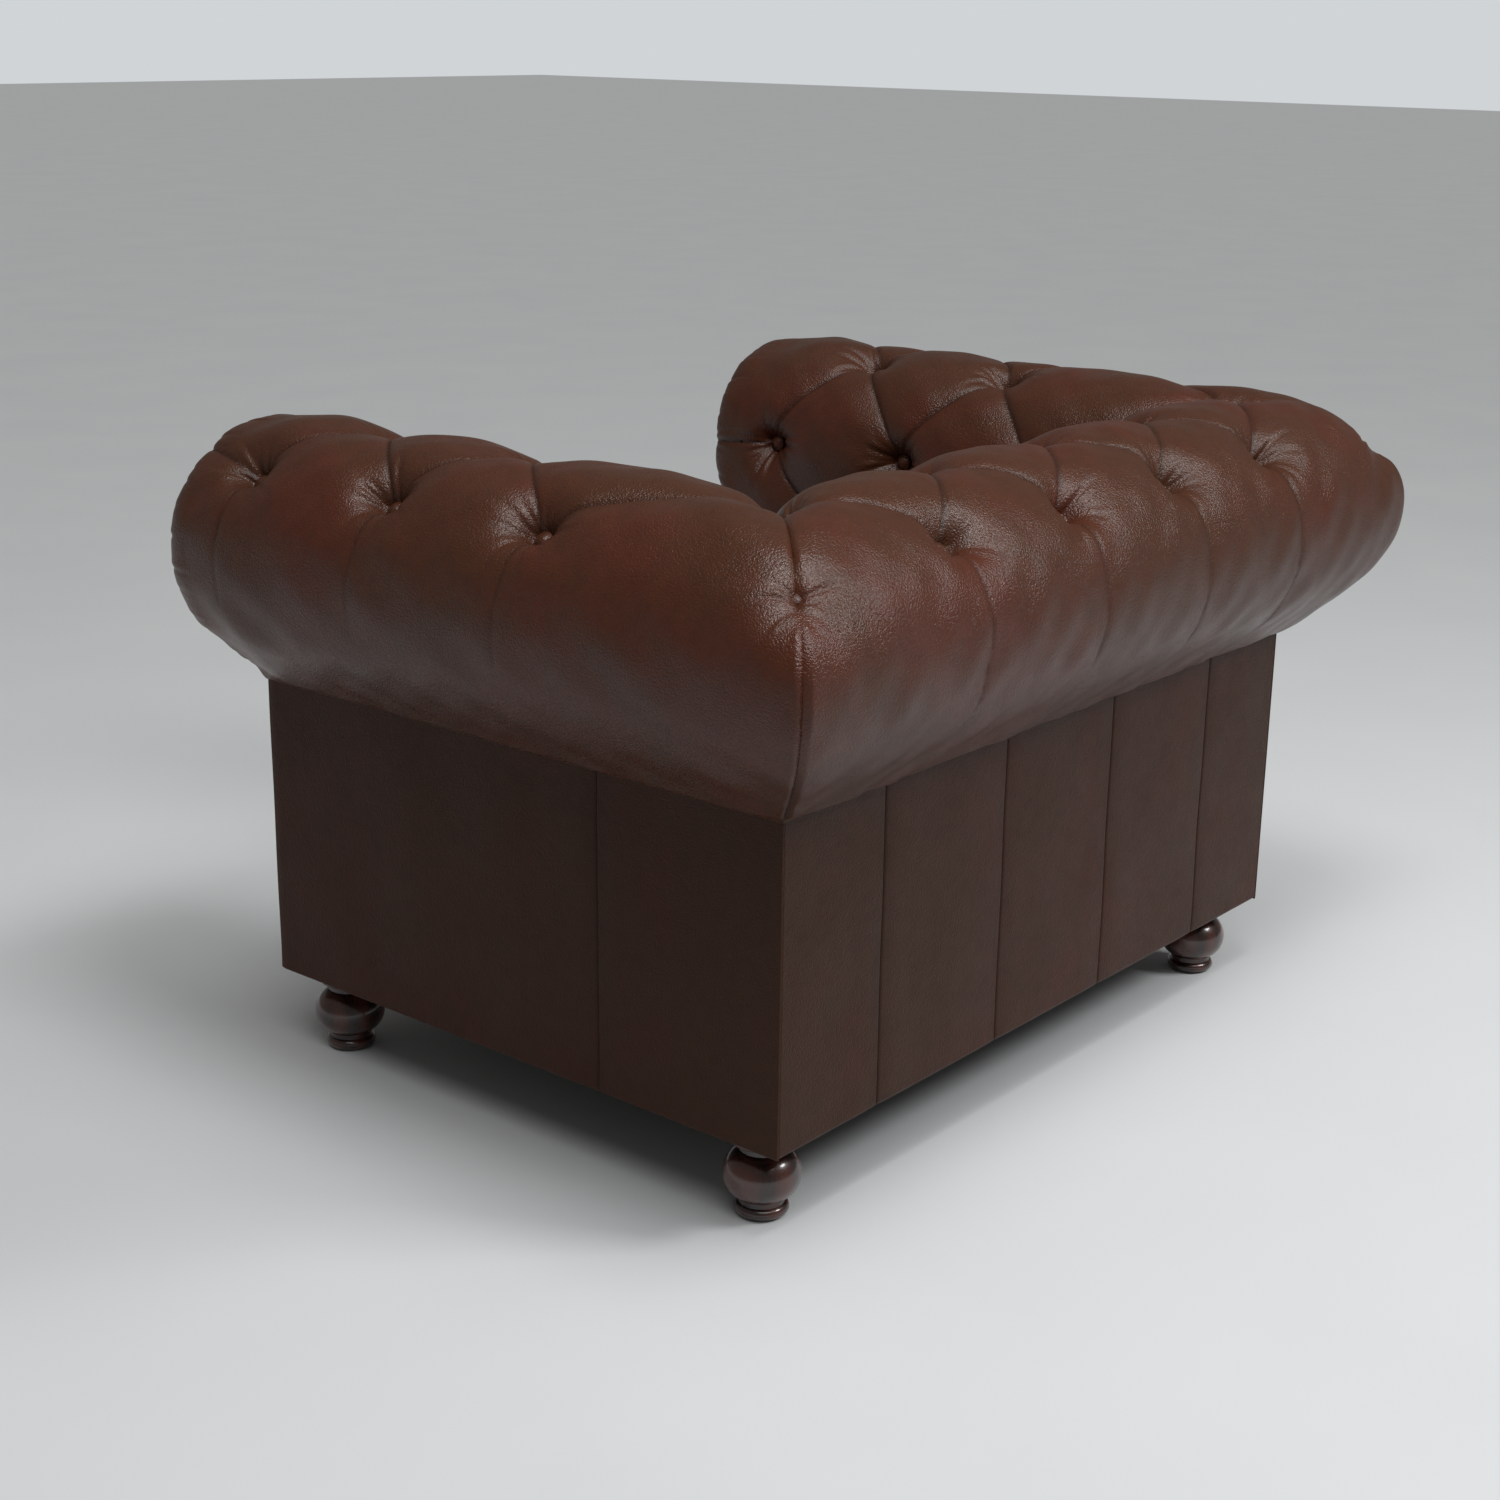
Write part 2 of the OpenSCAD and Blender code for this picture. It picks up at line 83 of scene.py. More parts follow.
# %% Camera
def place_camera(position, yaw, pitch, roll, lens):
    """Builds a camera from its heading (yaw), downward tilt (pitch) and lean (roll), in degrees."""
    yaw, pitch, roll = (math.radians(a) for a in (yaw, pitch, roll))
    ahead = np.array([math.cos(pitch) * math.cos(yaw), math.cos(pitch) * math.sin(yaw), -math.sin(pitch)])
    right = np.cross(ahead, [0, 0, 1])
    right /= np.linalg.norm(right)
    up = np.cross(right, ahead)
    x_axis = right * math.cos(roll) + up * math.sin(roll)
    y_axis = up * math.cos(roll) - right * math.sin(roll)
    matrix = np.eye(4)
    matrix[:3, 0], matrix[:3, 1], matrix[:3, 2], matrix[:3, 3] = x_axis, y_axis, -ahead, position
    data = bpy.data.cameras.new("camera")
    data.lens, data.sensor_width, data.clip_end = lens, 36, 50
    camera = bpy.data.objects.new("camera", data)
    bpy.context.scene.collection.objects.link(camera)
    camera.matrix_world = matrix.T.tolist()
    bpy.context.scene.camera = camera


place_camera(position=(2.173, 1.687, 1.197), yaw=-140.47, pitch=17.29, roll=0.76, lens=57.16)

# %% [markdown]
# ## From arrays to meshes
#
# Every new surface here is a grid of points worked out by numpy. One helper turns such a grid into quads,
# and another puts points and faces into a Blender mesh that rides on a body of the chair.

# %% Mesh helpers
def grid_faces(rows, cols, start=0, wrap_rows=False, wrap_cols=False):
    """Quads between neighbours of a rows x cols grid whose point (i, j) has the number start + i cols + j."""
    i = np.arange(rows if wrap_rows else rows - 1)[:, None]
    j = np.arange(cols if wrap_cols else cols - 1)[None, :]
    i2, j2 = (i + 1) % rows, (j + 1) % cols
    quads = np.stack(np.broadcast_arrays(i * cols + j, i2 * cols + j, i2 * cols + j2, i * cols + j2), -1)
    return quads.reshape(-1, 4) + start


def make_piece(name, points, faces, material, body="frame", weld=None, outward=False, crisp=80):
    """A smooth mesh object from points (n, 3) and arrays of point numbers, optionally welded and turned
    outward, with every edge that bends more than crisp degrees kept sharp."""
    mesh = bpy.data.meshes.new(name)
    points = np.asarray(points, float).reshape(-1, 3)
    faces = [np.asarray(f) for f in (faces if isinstance(faces, list) else [faces])]
    sizes = np.concatenate([np.full(len(f), f.shape[1]) if f.ndim == 2 else [len(f)] for f in faces])
    corners = np.concatenate([f.ravel() for f in faces])
    mesh.vertices.add(len(points))
    mesh.vertices.foreach_set("co", points.ravel().astype(np.float32))
    mesh.loops.add(len(corners))
    mesh.loops.foreach_set("vertex_index", corners.astype(np.int32))
    mesh.polygons.add(len(sizes))
    mesh.polygons.foreach_set("loop_start", (np.cumsum(sizes) - sizes).astype(np.int32))
    mesh.polygons.foreach_set("loop_total", sizes.astype(np.int32))
    mesh.update(calc_edges=True)
    if weld or outward:
        work = bmesh.new()
        work.from_mesh(mesh)
        if weld:
            bmesh.ops.remove_doubles(work, verts=work.verts, dist=weld)
        if outward:
            bmesh.ops.recalc_face_normals(work, faces=work.faces)
        work.to_mesh(mesh)
        work.free()
    mesh.validate()
    mesh.polygons.foreach_set("use_smooth", np.ones(len(mesh.polygons), bool))
    mesh.set_sharp_from_angle(angle=math.radians(crisp))
    piece = bpy.data.objects.new(name, mesh)
    bpy.context.scene.collection.objects.link(piece)
    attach(piece, body)
    mesh.materials.append(material)
    return piece


def store(piece, name, values):
    """Keeps one number per point on the mesh, for the material to read."""
    attribute = piece.data.attributes.new(name, "FLOAT", "POINT")
    attribute.data.foreach_set("value", np.asarray(values, np.float32).ravel())


def vertex_places(mesh):
    """The points of a mesh as an (n, 3) array."""
    flat = np.empty(len(mesh.vertices) * 3)
    mesh.vertices.foreach_get("co", flat)
    return flat.reshape(-1, 3)


def distance_along(line):
    """Distance from the start of a line of plane points to each of them."""
    return np.concatenate([[0], np.cumsum(np.hypot(*np.diff(line, axis=0).T))])


def read_line(at, distance, values):
    """Columns of values, known at each distance, read at the distances at."""
    return np.stack([np.interp(at, distance, column) for column in values.T], -1)

# %% [markdown]
# ## Writing shaders as sums
#
# A material is easier to read as arithmetic than as a web of nodes. `Value` wraps one output socket, and
# adding, subtracting or multiplying it lays down the Math node that does so. `Shader.node` makes any other
# node: its settings first, then what goes into its sockets.

# %% Shader helpers
class Value:
    """A number inside a material, on which Python's arithmetic makes Math nodes."""

    def __init__(self, shader, socket):
        self.shader, self.socket = shader, socket

    def math(self, operation, *others, clamp=False):
        node = self.shader.node("ShaderNodeMath", {"operation": operation, "use_clamp": clamp},
                                {i: v for i, v in enumerate((self, *others))})
        return Value(self.shader, node.outputs[0])

    def __add__(self, other):
        return self.math("ADD", other)

    def __sub__(self, other):
        return self.math("SUBTRACT", other)

    def __mul__(self, other):
        return self.math("MULTIPLY", other)

    def clamped(self):
        return self.math("ADD", 0.0, clamp=True)

    def smooth(self, low, high):
        """0 below low, 1 above high, and a soft step between them."""
        node = self.shader.node("ShaderNodeMapRange", {"interpolation_type": "SMOOTHSTEP"},
                                {"Value": self, "From Min": low, "From Max": high})
        return Value(self.shader, node.outputs[0])


class Shader:
    """One material with a Principled surface, filled in by calls that read like a recipe."""

    def __init__(self, name, **constants):
        self.material = bpy.data.materials.new(name)
        self.material.use_nodes = True
        self.tree = self.material.node_tree
        self.tree.nodes.clear()
        self.surface = self.node("ShaderNodeBsdfPrincipled", {}, constants)
        output = self.node("ShaderNodeOutputMaterial", {}, {})
        self.tree.links.new(self.surface.outputs[0], output.inputs["Surface"])
        self.place = self.node("ShaderNodeTexCoord", {}, {}).outputs["Object"]

    def node(self, kind, settings, inputs):
        """Adds a node, sets its settings, then sets or links each named or numbered input."""
        node = self.tree.nodes.new(kind)
        for key, value in settings.items():
            setattr(node, key, value)
        for key, value in inputs.items():
            target = node.inputs[key.replace("_", " ") if isinstance(key, str) else key]
            value = value.socket if isinstance(value, Value) else value
            if isinstance(value, bpy.types.NodeSocket):
                self.tree.links.new(value, target)
            else:
                target.default_value = value
        return node

    def set(self, **sockets):
        for key, value in sockets.items():
            target = self.surface.inputs[key.replace("_", " ")]
            self.tree.links.new(value.socket if isinstance(value, Value) else value, target)

    def noise(self, scale, detail=2.0, roughness=0.5, distortion=0.0, place=None):
        node = self.node("ShaderNodeTexNoise", {}, {"Vector": place or self.place, "Scale": scale,
                         "Detail": detail, "Roughness": roughness, "Distortion": distortion})
        return Value(self, node.outputs["Fac"])

    def cells(self, scale, feature="F1", place=None):
        node = self.node("ShaderNodeTexVoronoi", {"feature": feature},
                         {"Vector": place or self.place, "Scale": scale})
        return Value(self, node.outputs["Distance"])

    def stretched(self, scale):
        """Object coordinates scaled differently along each axis, for grain and woven threads."""
        return self.node("ShaderNodeMapping", {}, {"Vector": self.place, "Scale": scale}).outputs[0]

    def attribute(self, name):
        node = self.node("ShaderNodeAttribute", {"attribute_name": name}, {})
        return Value(self, node.outputs["Fac"])

    def mix(self, factor, a, b):
        """A colour between a and b."""
        node = self.node("ShaderNodeMix", {"data_type": "RGBA"}, {0: factor, 6: a, 7: b})
        return node.outputs[2]

    def ramp(self, factor, stops):
        """A colour ramp through (position, colour) stops."""
        node = self.node("ShaderNodeValToRGB", {}, {0: factor})
        line = node.color_ramp
        while len(line.elements) < len(stops):
            line.elements.new(0.5)
        for element, (position, colour) in zip(line.elements, stops):
            element.position, element.color = position, colour
        return node.outputs[0]

    def bump(self, height, distance, strength):
        """A normal bent by height, a Value; distance is how many metres a height of 1 stands."""
        inputs = {"Height": height, "Distance": distance, "Strength": strength}
        return self.node("ShaderNodeBump", {}, inputs).outputs[0]


def rgb(*levels):
    """A colour from the usual 0 to 255 numbers, as the linear values that shaders use."""
    linear = [((c / 255 + 0.055) / 1.055) ** 2.4 if c > 10 else c / 255 / 12.92 for c in levels]
    return (*linear, 1.0)

# %% [markdown]
# ## Leather
#
# The hide is a dark red-brown, semi-gloss, with burgundy clouds where the dye sat thicker. Close to, its
# grain is a net of small pebbles, 1 to 2 mm across, that breaks every highlight into sparks. Folds and
# seams are darkened with painted shade. The pebbles are Voronoi cells at two sizes, and a point attribute
# called `fold` says how deep in a crease a place lies, which sets how much painted shade it gets.

# %% Leather materials
def leather(name, base, cloud, deep, roughness, gloss, grain=1.0, fold=False):
    """Pebbled hide: base colour with clouds of a second colour and small specks of deep, turning to deep as
    painted shade where `fold` is high.
    """
    shader = Shader(name, Specular_IOR_Level=gloss)
    clouds = shader.noise(5.5, 4.0, 0.6, 0.4).smooth(0.42, 0.68)
    specks = shader.noise(60, 3.0, 0.6).smooth(0.35, 0.75)
    colour = shader.mix(clouds * 0.75, base, cloud)
    colour = shader.mix(specks * 0.16, colour, deep)
    pebbles = shader.cells(500, "SMOOTH_F1")
    small = shader.cells(980, "F1")
    wear = shader.noise(14, 3.0, 0.55)
    rough = wear * 0.16 + (roughness - 0.08) + specks * 0.03
    # painted shade: where the fold attribute is high the colour turns towards deep
    if fold:
        crease_shade = shader.attribute("fold")
        colour = shader.mix((crease_shade * 0.85).clamped(), colour, deep)
        rough = rough + crease_shade * 0.12
    shader.set(Base_Color=colour, Roughness=rough.clamped())
    height = pebbles * -1.0 + small * -0.35 + shader.noise(150, 2.0) * 0.5
    shader.set(Normal=shader.bump(height, 0.75 * MM * grain, 0.85))
    return shader.material


# The third colour is the small dark specks and also the painted shade in creases and seams.
LEATHER = leather("roll_leather", rgb(68, 37, 21), rgb(77, 34, 20), rgb(18, 8, 5), 0.31,
                  gloss=0.36, fold=True)
# A darker, less glossy copy of the roll leather for panels and arm fronts: its darker colours are painted
# shade.
SHADED_PANEL_LEATHER = leather("panel_leather", rgb(56, 30, 14), rgb(63, 28, 14), rgb(22, 10, 6), 0.38,
                        gloss=0.15, grain=0.6, fold=True)

# %% [markdown]
# ## The outline of an arm
#
# Cut across, arms and back have the same padded outline. It starts where the roll's underside meets the
# outer panel, goes straight out to the roll, round it, and down the inner face to the seat deck. `w` is the
# distance outside the body's outer face, so the same outline serves the arms (along y) and the back (x).

# %% Arm outline
def arm_outline(step=0.5 * MM, wide=24):
    """Points (w, z) along the outline, evenly spaced. Its one hollow corner is eased by a weighted moving
    mean over wide points to each side, taken twice."""
    reach = math.hypot(roll_w, roll_z - drop_z)
    first = math.atan2(drop_z - roll_z, -roll_w) + math.acos(roll_r / reach)
    last = math.pi + math.acos((arm_t + roll_w) / roll_r)
    angle = np.linspace(first, last, 700)
    line = np.concatenate([
        [[0.0, drop_z]],
        np.stack([roll_w + roll_r * np.cos(angle), roll_z + roll_r * np.sin(angle)], -1),
        [[-arm_t, deck_z]]])
    weights = np.hanning(2 * wide + 3)[1:-1]
    weights = weights / weights.sum()
    for _ in range(2):
        run = distance_along(line)
        line = read_line(np.linspace(0, run[-1], int(run[-1] / step)), run, line)
        before, after = 2 * line[0] - line[wide:0:-1], 2 * line[-1] - line[-2:-wide - 2:-1]
        longer = np.concatenate([before, line, after])
        line = np.stack([np.convolve(column, weights, "valid") for column in longer.T], -1)
    return line


outline = arm_outline()
outline_t = distance_along(outline)
slope = np.gradient(outline, outline_t, axis=0)
slope /= np.linalg.norm(slope, axis=1)[:, None]
outline_normal = np.stack([slope[:, 1], -slope[:, 0]], -1)
girth = outline_t[-1]


def on_outline(t):
    """Point and outward normal of the outline at the distance t along it."""
    point, normal = (read_line(t, outline_t, values) for values in (outline, outline_normal))
    return point, normal / np.linalg.norm(normal, axis=-1)[..., None]


def t_at_angle(degrees):
    """Distance along the outline at which it stands at an angle round the roll's axis."""
    around = np.unwrap(np.arctan2(outline[:, 1] - roll_z, outline[:, 0] - roll_w))
    return float(np.interp(math.radians(degrees), around, outline_t))


print(f"outline {girth:.3f} m long")

# %% [markdown]
# ## Buttons and folds
#
# Buttons are pulled down through the padding in staggered rows. Between them the leather is folded, not cut:
# every fold runs from a button of one row to its two neighbours in the next, and leaves each along the
# height of the arm before it swings over. From the outer row a straight pleat runs down and under the roll.
# A fold here is a path over the unrolled leather, (s along the arm, t round the outline), with the depth
# that the leather has there.

# %% Button rows and folds
arm_pitch, back_pitch = 213.5 * MM, 208 * MM
arm_first = -355 * MM
arm_full = [arm_first + i * arm_pitch for i in range(3)]
arm_half = [arm_first + (i + 0.5) * arm_pitch for i in range(2)]
back_full = [(i - 1.5) * back_pitch for i in range(4)]
back_half = [(i - 1) * back_pitch for i in range(3)]

# Row A faces outward, B stands on the crest, C faces the sitter and D is low on the inner face.
row_t = {"A": t_at_angle(46.7), "B": t_at_angle(104), "C": t_at_angle(174), "D": girth - (510 * MM - deck_z)}
row_depth = {"A": 31 * MM, "B": 31 * MM, "C": 31 * MM, "D": 33 * MM}
corner_t = {"A": t_at_angle(40), "B": row_t["B"]}
corner_depth = {"A": 27 * MM, "B": 30 * MM}
fold_mid = {"AB": 6.5 * MM, "CB": 7.5 * MM, "CD": 7.5 * MM}
pleat_end = row_t["A"] - 165 * MM
collar_run = 60 * MM
front_s = front_y - collar_run


def smoothstep(x, low=0.0, high=1.0):
    """0 below low, 1 above high, and 3u^2 - 2u^3 between."""
    u = np.clip((x - low) / (high - low), 0, 1)
    return u * u * (3 - 2 * u)


def fold(start, end, mid, start_depth=0.0, end_depth=0.0, sway=0.6, sharp=2.4 * MM, reach=17 * MM, taper=0.0):
    """A fold path: s moves by a mix of straight line and smoothstep, t straight. Depth falls off from each
    end's own depth to mid within about reach, and taper thins mid towards the end."""
    start, end = np.array(start, float), np.array(end, float)
    length = float(np.hypot(*(end - start)))
    u = np.linspace(0, 1, max(int(length / (4 * MM)), 8))
    bend = (1 - sway) * u + sway * smoothstep(u)
    path = np.stack([start[0] + (end[0] - start[0]) * bend, start[1] + (end[1] - start[1]) * u], -1)
    thin = 1 - taper * u
    depth = mid * thin + (start_depth - mid) * np.exp(-u * length / reach) * (start_depth > 0)
    depth = depth + (end_depth - mid * thin) * np.exp(-(1 - u) * length / reach) * (end_depth > 0)
    return {"path": path, "depth": depth, "sharp": sharp * thin ** 0.7}


def mitre_depth(t):
    """Depth of the leather along a corner seam: shallow on the roll, deep at the seam's two buttons."""
    depth = 6 * MM + 5 * MM * smoothstep(t, corner_t["A"] - 0.02, corner_t["A"] + 0.06)
    depth = depth - 4 * MM * (1 - smoothstep(t, 0.02, 0.14))
    for row in "AB":
        off = np.abs(t - corner_t[row])
        near = 0.6 * np.exp(-off / (15 * MM)) + 0.4 * np.exp(-(off / (34 * MM)) ** 2)
        depth = depth + (corner_depth[row] - 8 * MM) * near
    return np.minimum(depth, 30 * MM)


def mitre_fold(offset, sign=1):
    """The corner seam as a fold: s follows the outline's own distance out, as on a 45 degree mitre."""
    t = np.arange(0, girth, 4 * MM)
    point, _ = on_outline(t)
    return {"path": np.stack([sign * (offset + point[:, 0]), t], -1), "depth": mitre_depth(t),
            "sharp": np.full(len(t), 2.6 * MM)}


def corner_place(row, offset, sign=1):
    """Where a corner's button of a row stands: on the mitre, at its distance round the outline."""
    t = corner_t[row]
    return (sign * (offset + float(on_outline(t)[0][0])), t)


def button_places(full, half):
    """(row, s, t) of every button of one run of upholstery, without those on its corners."""
    return ([(r, s, row_t[r]) for r in "AC" for s in full] + [(r, s, row_t[r]) for r in "BD" for s in half])


def from_button(row, s, end, mid, end_depth=0.0, **shape):
    """A fold that starts at a row's button that stands at s."""
    return fold((s, row_t[row]), end, mid, row_depth[row], end_depth, **shape)


def diamonds(full, half):
    """Folds between buttons of neighbouring rows that stand half a pitch apart."""
    return [from_button(upper, s, (s2, row_t[lower]), fold_mid[upper + lower], row_depth[lower])
            for upper, lower in ("AB", "CB", "CD") for s in full for s2 in half
            if abs(s - s2) < 130 * MM]


# On an arm: diamonds and corner seam, pleats under the roll, and what runs out to the deck, corner and front.
arm_folds = diamonds(arm_full, arm_half) + [mitre_fold(back_y)]
arm_folds += [from_button("A", s, (s - 4 * MM, pleat_end), 2.5 * MM, sway=0.3, taper=1.0, sharp=1.6 * MM)
              for s in arm_full]
arm_folds += [from_button("D", s, (s, girth), 8 * MM, sway=0) for s in arm_half]
arm_folds += [from_button(row, arm_full[2], corner_place("B", back_y), 10 * MM, corner_depth["B"])
              for row in "AC"]
arm_folds.append(from_button("C", arm_full[2], (arm_full[2] + 20 * MM, girth), 9 * MM, taper=0.3))
arm_folds += [from_button(row, arm_full[0], (front_s, row_t[row] + lift), 7 * MM, sway=0.2, taper=0.3)
              for row, lift in (("A", 35 * MM), ("C", 12 * MM))]

# On the back: the same, but with a corner at both ends, towards which the pleats lean a little.
back_folds = diamonds(back_full, back_half) + [mitre_fold(side_x), mitre_fold(side_x, -1)]
back_folds += [from_button("A", s, (s * 1.045, 20 * MM), 3 * MM, sway=0.3, taper=0.9, sharp=1.8 * MM)
               for s in back_full]
back_folds += [from_button("D", s, (s, girth), 8 * MM, sway=0) for s in back_half]
for sign in (-1, 1):
    end = sign * back_full[3]
    back_folds += [from_button(row, end, corner_place("B", side_x, sign), 10 * MM, corner_depth["B"])
                   for row in "AC"]
    back_folds.append(from_button("C", end, (end, girth), 8 * MM, taper=0.3))
print(f"{len(arm_folds)} folds on an arm, {len(back_folds)} on the back")

# %% [markdown]
# ## How deep the leather lies
#
# Leather over foam behaves like a stretched skin on springs: the foam pushes it out to the full outline, and
# each fold and button pulls it in. The depth D then follows D - L^2 laplace(D) = 0 away from the folds,
# which swells each diamond into a pillow that is steep at its folds and flat on top, where L is how far a
# pull reaches. The equation is relaxed on a grid, coarse first, with the folds as soft targets. What the
# grid is too coarse for, the sharp line in each fold and the wrinkles round each button, is added after.

# %% Distance to the folds
def to_folds(s, t, folds, reach):
    """Distance from every place to its nearest fold, up to reach, with that fold's depth and sharpness."""
    s, t = s.ravel(), t.ravel()
    best = np.full(s.shape, reach)
    depth, sharp = np.zeros(s.shape), np.zeros(s.shape)
    for one in folds:
        a, b = one["path"][:-1], one["path"][1:]
        low, high = one["path"].min(0) - reach, one["path"].max(0) + reach
        near = np.nonzero((s > low[0]) & (s < high[0]) & (t > low[1]) & (t < high[1]))[0]
        step = b - a
        for part in np.array_split(near, max(len(near) // 20000, 1)):
            off = np.stack([s[part], t[part]], -1)[:, None] - a
            u = np.clip((off * step).sum(-1) / (step * step).sum(-1), 0, 1)
            distance = np.linalg.norm(off - step * u[..., None], axis=-1)
            k = distance.argmin(1)
            rows = np.arange(len(part))
            d, u = distance[rows, k], u[rows, k]
            closer = d < best[part]
            best[part] = np.where(closer, d, best[part])
            for found, key in ((depth, "depth"), (sharp, "sharp")):
                value = one[key][k] * (1 - u) + one[key][k + 1] * u
                found[part] = np.where(closer, value, found[part])
    return best, depth, sharp


def relax(s_range, folds, buttons, pull=27 * MM, sweeps=130, overshoot=1.75):
    """Solves the pillow equation on grids of 12, 6 and 3 mm by over-relaxed red and black sweeps. hold says
    how hard a place is kept at its target depth, against 1 for the foam's own push."""
    depth = None
    for cell in (12 * MM, 6 * MM, 3 * MM):
        s = np.arange(s_range[0], s_range[1] + cell, cell)
        t = np.arange(0, girth + cell, cell)
        ss, tt = np.meshgrid(s, t, indexing="ij")
        distance, target, _ = (a.reshape(ss.shape) for a in to_folds(ss, tt, folds, 4 * cell))
        hold = 4000 * np.exp(-(distance / (0.55 * cell)) ** 2)
        for row, s0, t0 in buttons:
            disc = 6000 * smoothstep(-np.hypot(ss - s0, tt - t0), -11 * MM, -7 * MM)
            target = np.where(disc > hold, row_depth[row], target)
            hold = np.maximum(hold, disc)
        if depth is None:
            depth = np.where(hold > 1, target, 0)
        else:
            i = np.minimum(np.arange(len(s)) // 2, depth.shape[0] - 1)
            j = np.minimum(np.arange(len(t)) // 2, depth.shape[1] - 1)
            depth = depth[np.ix_(i, j)]
        spread = (pull / cell) ** 2
        checks = (np.add.outer(np.arange(len(s)), np.arange(len(t))) % 2).astype(bool)
        for _ in range(sweeps):
            for colour in (checks, ~checks):
                around = np.pad(depth, 1, mode="edge")
                total = around[2:, 1:-1] + around[:-2, 1:-1] + around[1:-1, 2:] + around[1:-1, :-2]
                wanted = (hold * target + spread * total) / (hold + 1 + 4 * spread)
                depth = np.where(colour, depth + overshoot * (wanted - depth), depth)
            depth[:, 0] = 0
    return {"s0": s_range[0], "cell": cell, "depth": depth}


def sample(field, s, t):
    """Cubic (Catmull-Rom) reading of a relaxed field at any places."""
    grid, cell = field["depth"], field["cell"]
    x = np.clip((s - field["s0"]) / cell, 1, grid.shape[0] - 2.001)
    y = np.clip(t / cell, 0, grid.shape[1] - 2.001)
    i, j = np.floor(x).astype(int), np.floor(y).astype(int)
    weights = []
    for f in (x - i, y - j):
        weights.append((-0.5 * f + f * f - 0.5 * f ** 3, 1 - 2.5 * f * f + 1.5 * f ** 3,
                        0.5 * f + 2 * f * f - 1.5 * f ** 3, 0.5 * f ** 3 - 0.5 * f * f))
    total = 0
    for a in range(4):
        for b in range(4):
            ii = np.clip(i + a - 1, 0, grid.shape[0] - 1)
            jj = np.clip(j + b - 1, 0, grid.shape[1] - 1)
            total = total + weights[0][a] * weights[1][b] * grid[ii, jj]
    return total

# %% [markdown]
# ## Wrinkles
#
# Close to a button the hide can't lie smooth: it gathers in short rays that fan out between the folds.
# Each ray is a thin groove with a soft ridge beside it, widest and shallowest at its far end.

# %% Wrinkles round a button
def groove_and_ridge(q, ridge, at, wide):
    """A groove at q = 0 with a soft ridge beside it."""
    return np.exp(-q * q) - ridge * np.exp(-((q - at) / wide) ** 2)


def wrinkle_rays(s, t, places, seed):
    """Sum over random rays of depth x profile(sideways distance / width) x window(distance along)."""
    chance = np.random.default_rng(seed)
    total = np.zeros(s.shape)
    for s0, t0, blocked, count in places:
        near = np.hypot(s - s0, t - t0) < 80 * MM
        ds, dt = s[near] - s0, t[near] - t0
        for k in range(count):
            heading = 2 * math.pi * (k + chance.uniform(-0.3, 0.3)) / count
            length = chance.uniform(34, 78) * MM
            strength = chance.uniform(0.7, 2.5) * MM * (1 + 0.4 * math.sin(heading))
            bend = chance.uniform(-6, 6)
            if min(abs((heading - b + math.pi) % (2 * math.pi) - math.pi) for b in blocked) < 0.22:
                continue
            along = ds * math.cos(heading) + dt * math.sin(heading)
            aside = dt * math.cos(heading) - ds * math.sin(heading) + bend * along * along
            width = 1.5 * MM + 0.055 * np.maximum(along, 0)
            q = aside / width
            window = smoothstep(along, 8 * MM, 15 * MM) * (1 - smoothstep(along, 0.35 * length, length))
            total[near] += strength * window * groove_and_ridge(q, 0.55, 1.9, 1.2)
    return total


def blocked_headings(s0, t0, folds):
    """Directions in which a fold leaves a button, where no ray may lie on it."""
    headings = []
    for one in folds:
        for path in (one["path"], one["path"][::-1]):
            if np.hypot(*(path[0] - (s0, t0))) < 5 * MM:
                headings.append(math.atan2(*(path[3] - path[0])[::-1]))
    return headings or [10.0]


def front_gathers(s, t, seed):
    """Short pleats across the front edge, uneven in place, strength and length."""
    chance = np.random.default_rng(seed)
    total = np.zeros(s.shape)
    for t0 in np.arange(0.03, girth, 31 * MM):
        t0 = t0 + chance.uniform(-9, 9) * MM
        strength = chance.uniform(0.4, 2.0) * MM
        length = chance.uniform(20, 55) * MM
        slant = chance.uniform(-0.25, 0.25)
        q = (t - t0 - slant * (s - front_y)) / (3.2 * MM)
        reach = 1 - smoothstep(s, front_y - 30 * MM, front_y - 30 * MM + length)
        total += strength * reach * groove_and_ridge(q, 0.5, 2, 1.5)
    return total


def unevenness(s, t, seed, size=1.3 * MM):
    """Slow waves of a few directions, as foam and hand stuffing give."""
    chance = np.random.default_rng(seed)
    total = np.zeros(s.shape)
    for _ in range(9):
        heading, wave = chance.uniform(0, 2 * math.pi), chance.uniform(45, 150) * MM
        phase = chance.uniform(0, 2 * math.pi)
        total += np.sin(2 * math.pi * (s * math.cos(heading) + t * math.sin(heading)) / wave + phase)
    return size * total / 4

# %% [markdown]
# ## One depth from all of these
#
# Everything adds up to one depth inward from the outline. Round each button the pillows also sink in a wide,
# shallow dish, and the leather gives up its depth towards the edge where it is tacked under the roll.

# %% Depth of the leather at any place
def tacked(t):
    """0 at the tacked edge under the roll, 1 from 25 mm on."""
    return smoothstep(t, 0, 25 * MM)


